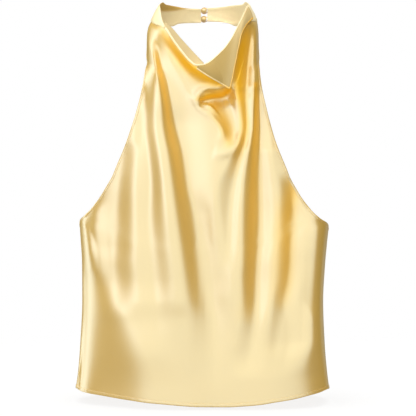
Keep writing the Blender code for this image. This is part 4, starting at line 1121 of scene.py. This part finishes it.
def make_loop(name, x, z, node):
    end = 8.2 * MM - x * MM
    path = [(end, -0.8 * MM, 2.2 * MM), (6.2 * MM, -0.3 * MM, 2.3 * MM),
            (4.8 * MM, 1.1 * MM, 2.5 * MM), (3.7 * MM, 2.0 * MM, 3.0 * MM)]
    for i in range(25):
        a = math.radians(60 + 240 * i / 24)
        path.append((4.4 * MM * math.cos(a), 2.2 * MM, 4.4 * MM * math.sin(a)))
    path += [(x_, y_, -z_) for x_, y_, z_ in reversed(path[:4])]
    path = np.array(path) + np.array([x * MM, BUTTON_DEPTH, z * MM])
    tangent = unit(np.gradient(path, axis=0))
    out = np.tile([0.0, 1.0, 0.0], (len(path), 1))
    side = unit(np.cross(tangent, out))
    out = unit(np.cross(side, tangent))
    ang = np.linspace(0, 2 * math.pi, 10, endpoint=False)
    prof = 0.65 * MM * np.stack([np.cos(ang), np.sin(ang)], -1)
    return sweep(name, path, side, out, prof, [CORD], node=node, slot="satin")


# --------------------------------------------------------------------- build
front = make_front()
back = make_back()
band_l, foot_l, top_l, norm_l = make_band("neckband_button_side_cloth", BAND_LEFT, -1,
                                          "neckband_button_side")
band_r, foot_r, top_r, norm_r = make_band("neckband_loop_side_cloth", BAND_RIGHT, 1,
                                          "neckband_loop_side")
facing_in = make_facing_inner()
facing_out = make_facing_out()
hem_pieces = [*front_hem(), *armhole_edge(-1), *armhole_edge(1), neck_roll()]
back_pieces = [*back_hem("hem"), *back_hem("top"), side_seam(-1), side_seam(1)]
for which, x, z in BUTTONS:
    make_button(f"button_{which}_ball", x, z, f"button_{which}")
    make_loop(f"loop_{which}_cord", x, z, f"loop_{which}")


# ---------------------------------------------------------------- floor, light
def make_floor():
    mesh = bpy.data.meshes.new("floor")
    n = 48
    radii = (0.0, 0.5, 0.9, 1.3)
    verts, faces = [(0, 0, 0)], []
    for r in radii[1:]:
        for k in range(n):
            a = 2 * math.pi * k / n
            verts.append((r * math.cos(a), r * math.sin(a), 0))
    for k in range(n):
        faces.append((0, 1 + k, 1 + (k + 1) % n))
    for i in range(len(radii) - 2):
        for k in range(n):
            q = (k + 1) % n
            faces.append((1 + i * n + k, 1 + (i + 1) * n + k, 1 + (i + 1) * n + q,
                          1 + i * n + q))
    mesh.from_pydata(verts, [], faces)
    floor = bpy.data.objects.new("floor", mesh)
    bpy.context.scene.collection.objects.link(floor)
    floor.location = (0, 0, -0.5585)
    m = bpy.data.materials.new("floor_white")
    m.use_nodes = True
    nodes, links = m.node_tree.nodes, m.node_tree.links
    shader = nodes["Principled BSDF"]
    shader.inputs["Base Color"].default_value = (0.97, 0.97, 0.97, 1)
    shader.inputs["Roughness"].default_value = 0.9
    shader.inputs["Specular IOR Level"].default_value = 0.1
    coords = nodes.new("ShaderNodeTexCoord")
    length = nodes.new("ShaderNodeVectorMath")
    length.operation = "LENGTH"
    links.new(coords.outputs["Object"], length.inputs[0])
    fade = nodes.new("ShaderNodeMapRange")
    fade.interpolation_type = "SMOOTHSTEP"
    fade.inputs["From Min"].default_value = 0.45
    fade.inputs["From Max"].default_value = 1.1
    fade.inputs["To Min"].default_value = 1.0
    fade.inputs["To Max"].default_value = 0.0
    links.new(length.outputs["Value"], fade.inputs["Value"])
    glow = nodes.new("ShaderNodeEmission")
    glow.inputs["Color"].default_value = (1.0, 1.0, 1.0, 1)
    glow.inputs["Strength"].default_value = 1.0
    lit = nodes.new("ShaderNodeMixShader")
    lit.inputs["Fac"].default_value = 0.80
    clear = nodes.new("ShaderNodeBsdfTransparent")
    edge = nodes.new("ShaderNodeMixShader")
    links.new(shader.outputs["BSDF"], lit.inputs[1])
    links.new(glow.outputs["Emission"], lit.inputs[2])
    links.new(fade.outputs["Result"], edge.inputs["Fac"])
    links.new(clear.outputs["BSDF"], edge.inputs[1])
    links.new(lit.outputs["Shader"], edge.inputs[2])
    links.new(edge.outputs["Shader"], nodes["Material Output"].inputs["Surface"])
    mesh.materials.append(m)
    floor.visible_glossy = False
    return floor


def area_light(name, where, target, size, power, colour=(1, 1, 1), glossy=True,
               diffuse=True):
    data = bpy.data.lights.new(name, "AREA")
    data.shape = "RECTANGLE"
    data.size, data.size_y = size
    data.energy = power
    data.color = colour
    obj = bpy.data.objects.new(name, data)
    bpy.context.scene.collection.objects.link(obj)
    obj.location = where
    obj.rotation_euler = (Vector(target) - Vector(where)).to_track_quat("-Z", "Y").to_euler()
    obj.visible_camera = False
    obj.visible_glossy = glossy
    obj.visible_diffuse = diffuse
    return obj


make_floor()
area_light("key_left", (-1.5, -1.7, 0.3), (0, -0.05, -0.28), (1.2, 1.6), 7)
area_light("top_soft", (0.0, -0.1, 1.5), (0, 0, -0.3), (2.0, 2.0), 30, glossy=False)


# Brightness of the panels that the satin mirrors, by azimuth in degrees and by
# the height of the direction.
GLOSS_AROUND = ((-180, 0), (-148, 0), (-130, 0.7), (-114, 1.55), (-100, 1.2),
                (-87, 0.08), (-80, 0.0), (-64, 0.0), (-54, 0.35), (-44, 0.93),
                (-28, 0.93), (-10, 0.97), (0, 1.0), (26, 0.92), (46, 0.78),
                (58, 0.33), (70, 0.02), (140, 0), (155, 0.25), (172, 0.1), (180, 0))
GLOSS_UP = ((-1, 0), (-0.78, 0.0), (-0.55, 0.40), (-0.32, 0.86), (0.1, 0.89),
            (0.4, 1.0), (0.7, 1.0), (1, 0.75))
GLOSS_LEVEL = 2.18
GLOSS_COLOUR = (0.82, 1.0, 0.98)


def make_world():
    """A light tent: white to the eye, brighter from the left front than from
    the right and the back, with softer differences for the diffuse light."""
    world = bpy.data.worlds.new("studio")
    bpy.context.scene.world = world
    world.use_nodes = True
    nodes, links = world.node_tree.nodes, world.node_tree.links
    nodes.clear()
    out = nodes.new("ShaderNodeOutputWorld")
    coords = nodes.new("ShaderNodeTexCoord")

    def tent(axis, start, end, low, high, colour):
        dot = nodes.new("ShaderNodeVectorMath")
        dot.operation = "DOT_PRODUCT"
        dot.inputs[1].default_value = Vector(axis).normalized()
        links.new(coords.outputs["Generated"], dot.inputs[0])
        ramp = nodes.new("ShaderNodeMapRange")
        ramp.interpolation_type = "SMOOTHSTEP"
        for key, value in (("From Min", start), ("From Max", end),
                           ("To Min", low), ("To Max", high)):
            ramp.inputs[key].default_value = value
        links.new(dot.outputs["Value"], ramp.inputs["Value"])
        back = nodes.new("ShaderNodeBackground")
        back.inputs["Color"].default_value = (*colour, 1)
        links.new(ramp.outputs["Result"], back.inputs["Strength"])
        return back

    seen = nodes.new("ShaderNodeBackground")
    seen.inputs["Color"].default_value = (1, 1, 1, 1)
    seen.inputs["Strength"].default_value = 1.0
    soft = tent((-0.5, -1.0, 0.4), -0.6, 0.9, 0.42, 0.90, (1.0, 1.0, 1.0))

    # what the gloss sees: panels round the garment, by azimuth (0 is the
    # front, + is to the right) and, below, by how high they stand
    parts = nodes.new("ShaderNodeSeparateXYZ")
    links.new(coords.outputs["Generated"], parts.inputs[0])
    away = nodes.new("ShaderNodeMath")
    away.operation = "MULTIPLY"
    away.inputs[1].default_value = -1.0
    links.new(parts.outputs["Y"], away.inputs[0])
    azimuth = nodes.new("ShaderNodeMath")
    azimuth.operation = "ARCTAN2"
    links.new(parts.outputs["X"], azimuth.inputs[0])
    links.new(away.outputs[0], azimuth.inputs[1])

    def panel_ramp(source, low, high, table):
        scaled = nodes.new("ShaderNodeMapRange")
        scaled.inputs["From Min"].default_value = low
        scaled.inputs["From Max"].default_value = high
        links.new(source, scaled.inputs["Value"])
        ramp = nodes.new("ShaderNodeValToRGB")
        ramp.color_ramp.interpolation = "EASE"
        stops = ramp.color_ramp.elements
        while len(stops) < len(table):
            stops.new(0.5)
        for stop, (at, value) in zip(stops, table):
            stop.position = (at - low) / (high - low)
            stop.color = (value, value, value, 1)
        links.new(scaled.outputs["Result"], ramp.inputs["Fac"])
        return ramp.outputs["Color"]

    around = panel_ramp(azimuth.outputs[0], -math.pi, math.pi, [
        (math.radians(a), v) for a, v in GLOSS_AROUND])
    upright = panel_ramp(parts.outputs["Z"], -1.0, 1.0, GLOSS_UP)
    both = nodes.new("ShaderNodeMath")
    both.operation = "MULTIPLY"
    links.new(around, both.inputs[0])
    links.new(upright, both.inputs[1])
    level = nodes.new("ShaderNodeMath")
    level.operation = "MULTIPLY"
    level.inputs[1].default_value = GLOSS_LEVEL
    links.new(both.outputs[0], level.inputs[0])
    gloss = nodes.new("ShaderNodeBackground")
    gloss.inputs["Color"].default_value = (*GLOSS_COLOUR, 1)
    links.new(level.outputs[0], gloss.inputs["Strength"])
    rays = nodes.new("ShaderNodeLightPath")
    mix1 = nodes.new("ShaderNodeMixShader")
    mix2 = nodes.new("ShaderNodeMixShader")
    links.new(rays.outputs["Is Glossy Ray"], mix1.inputs["Fac"])
    links.new(soft.outputs["Background"], mix1.inputs[1])
    links.new(gloss.outputs["Background"], mix1.inputs[2])
    links.new(rays.outputs["Is Camera Ray"], mix2.inputs["Fac"])
    links.new(mix1.outputs["Shader"], mix2.inputs[1])
    links.new(seen.outputs["Background"], mix2.inputs[2])
    links.new(mix2.outputs["Shader"], out.inputs["Surface"])
    return world


make_world()
nape = area_light("nape", (0.0, -1.0, 0.42), (0.0, 0.063, 0.008), (0.13, 0.03), 0.006)
nape.data.spread = math.radians(6)

camera_data = bpy.data.cameras.new("camera")
camera_data.sensor_width = 36.0
camera_data.lens = 36.0 * 1379.3 / 416
camera = bpy.data.objects.new("camera", camera_data)
bpy.context.scene.collection.objects.link(camera)
camera.location = (0.0058, -2.0, -0.27985)
camera.rotation_euler = (math.pi / 2, 0, 0)
bpy.context.scene.camera = camera
bpy.context.scene.view_settings.view_transform = "Standard"
bpy.context.scene.view_settings.look = "None"
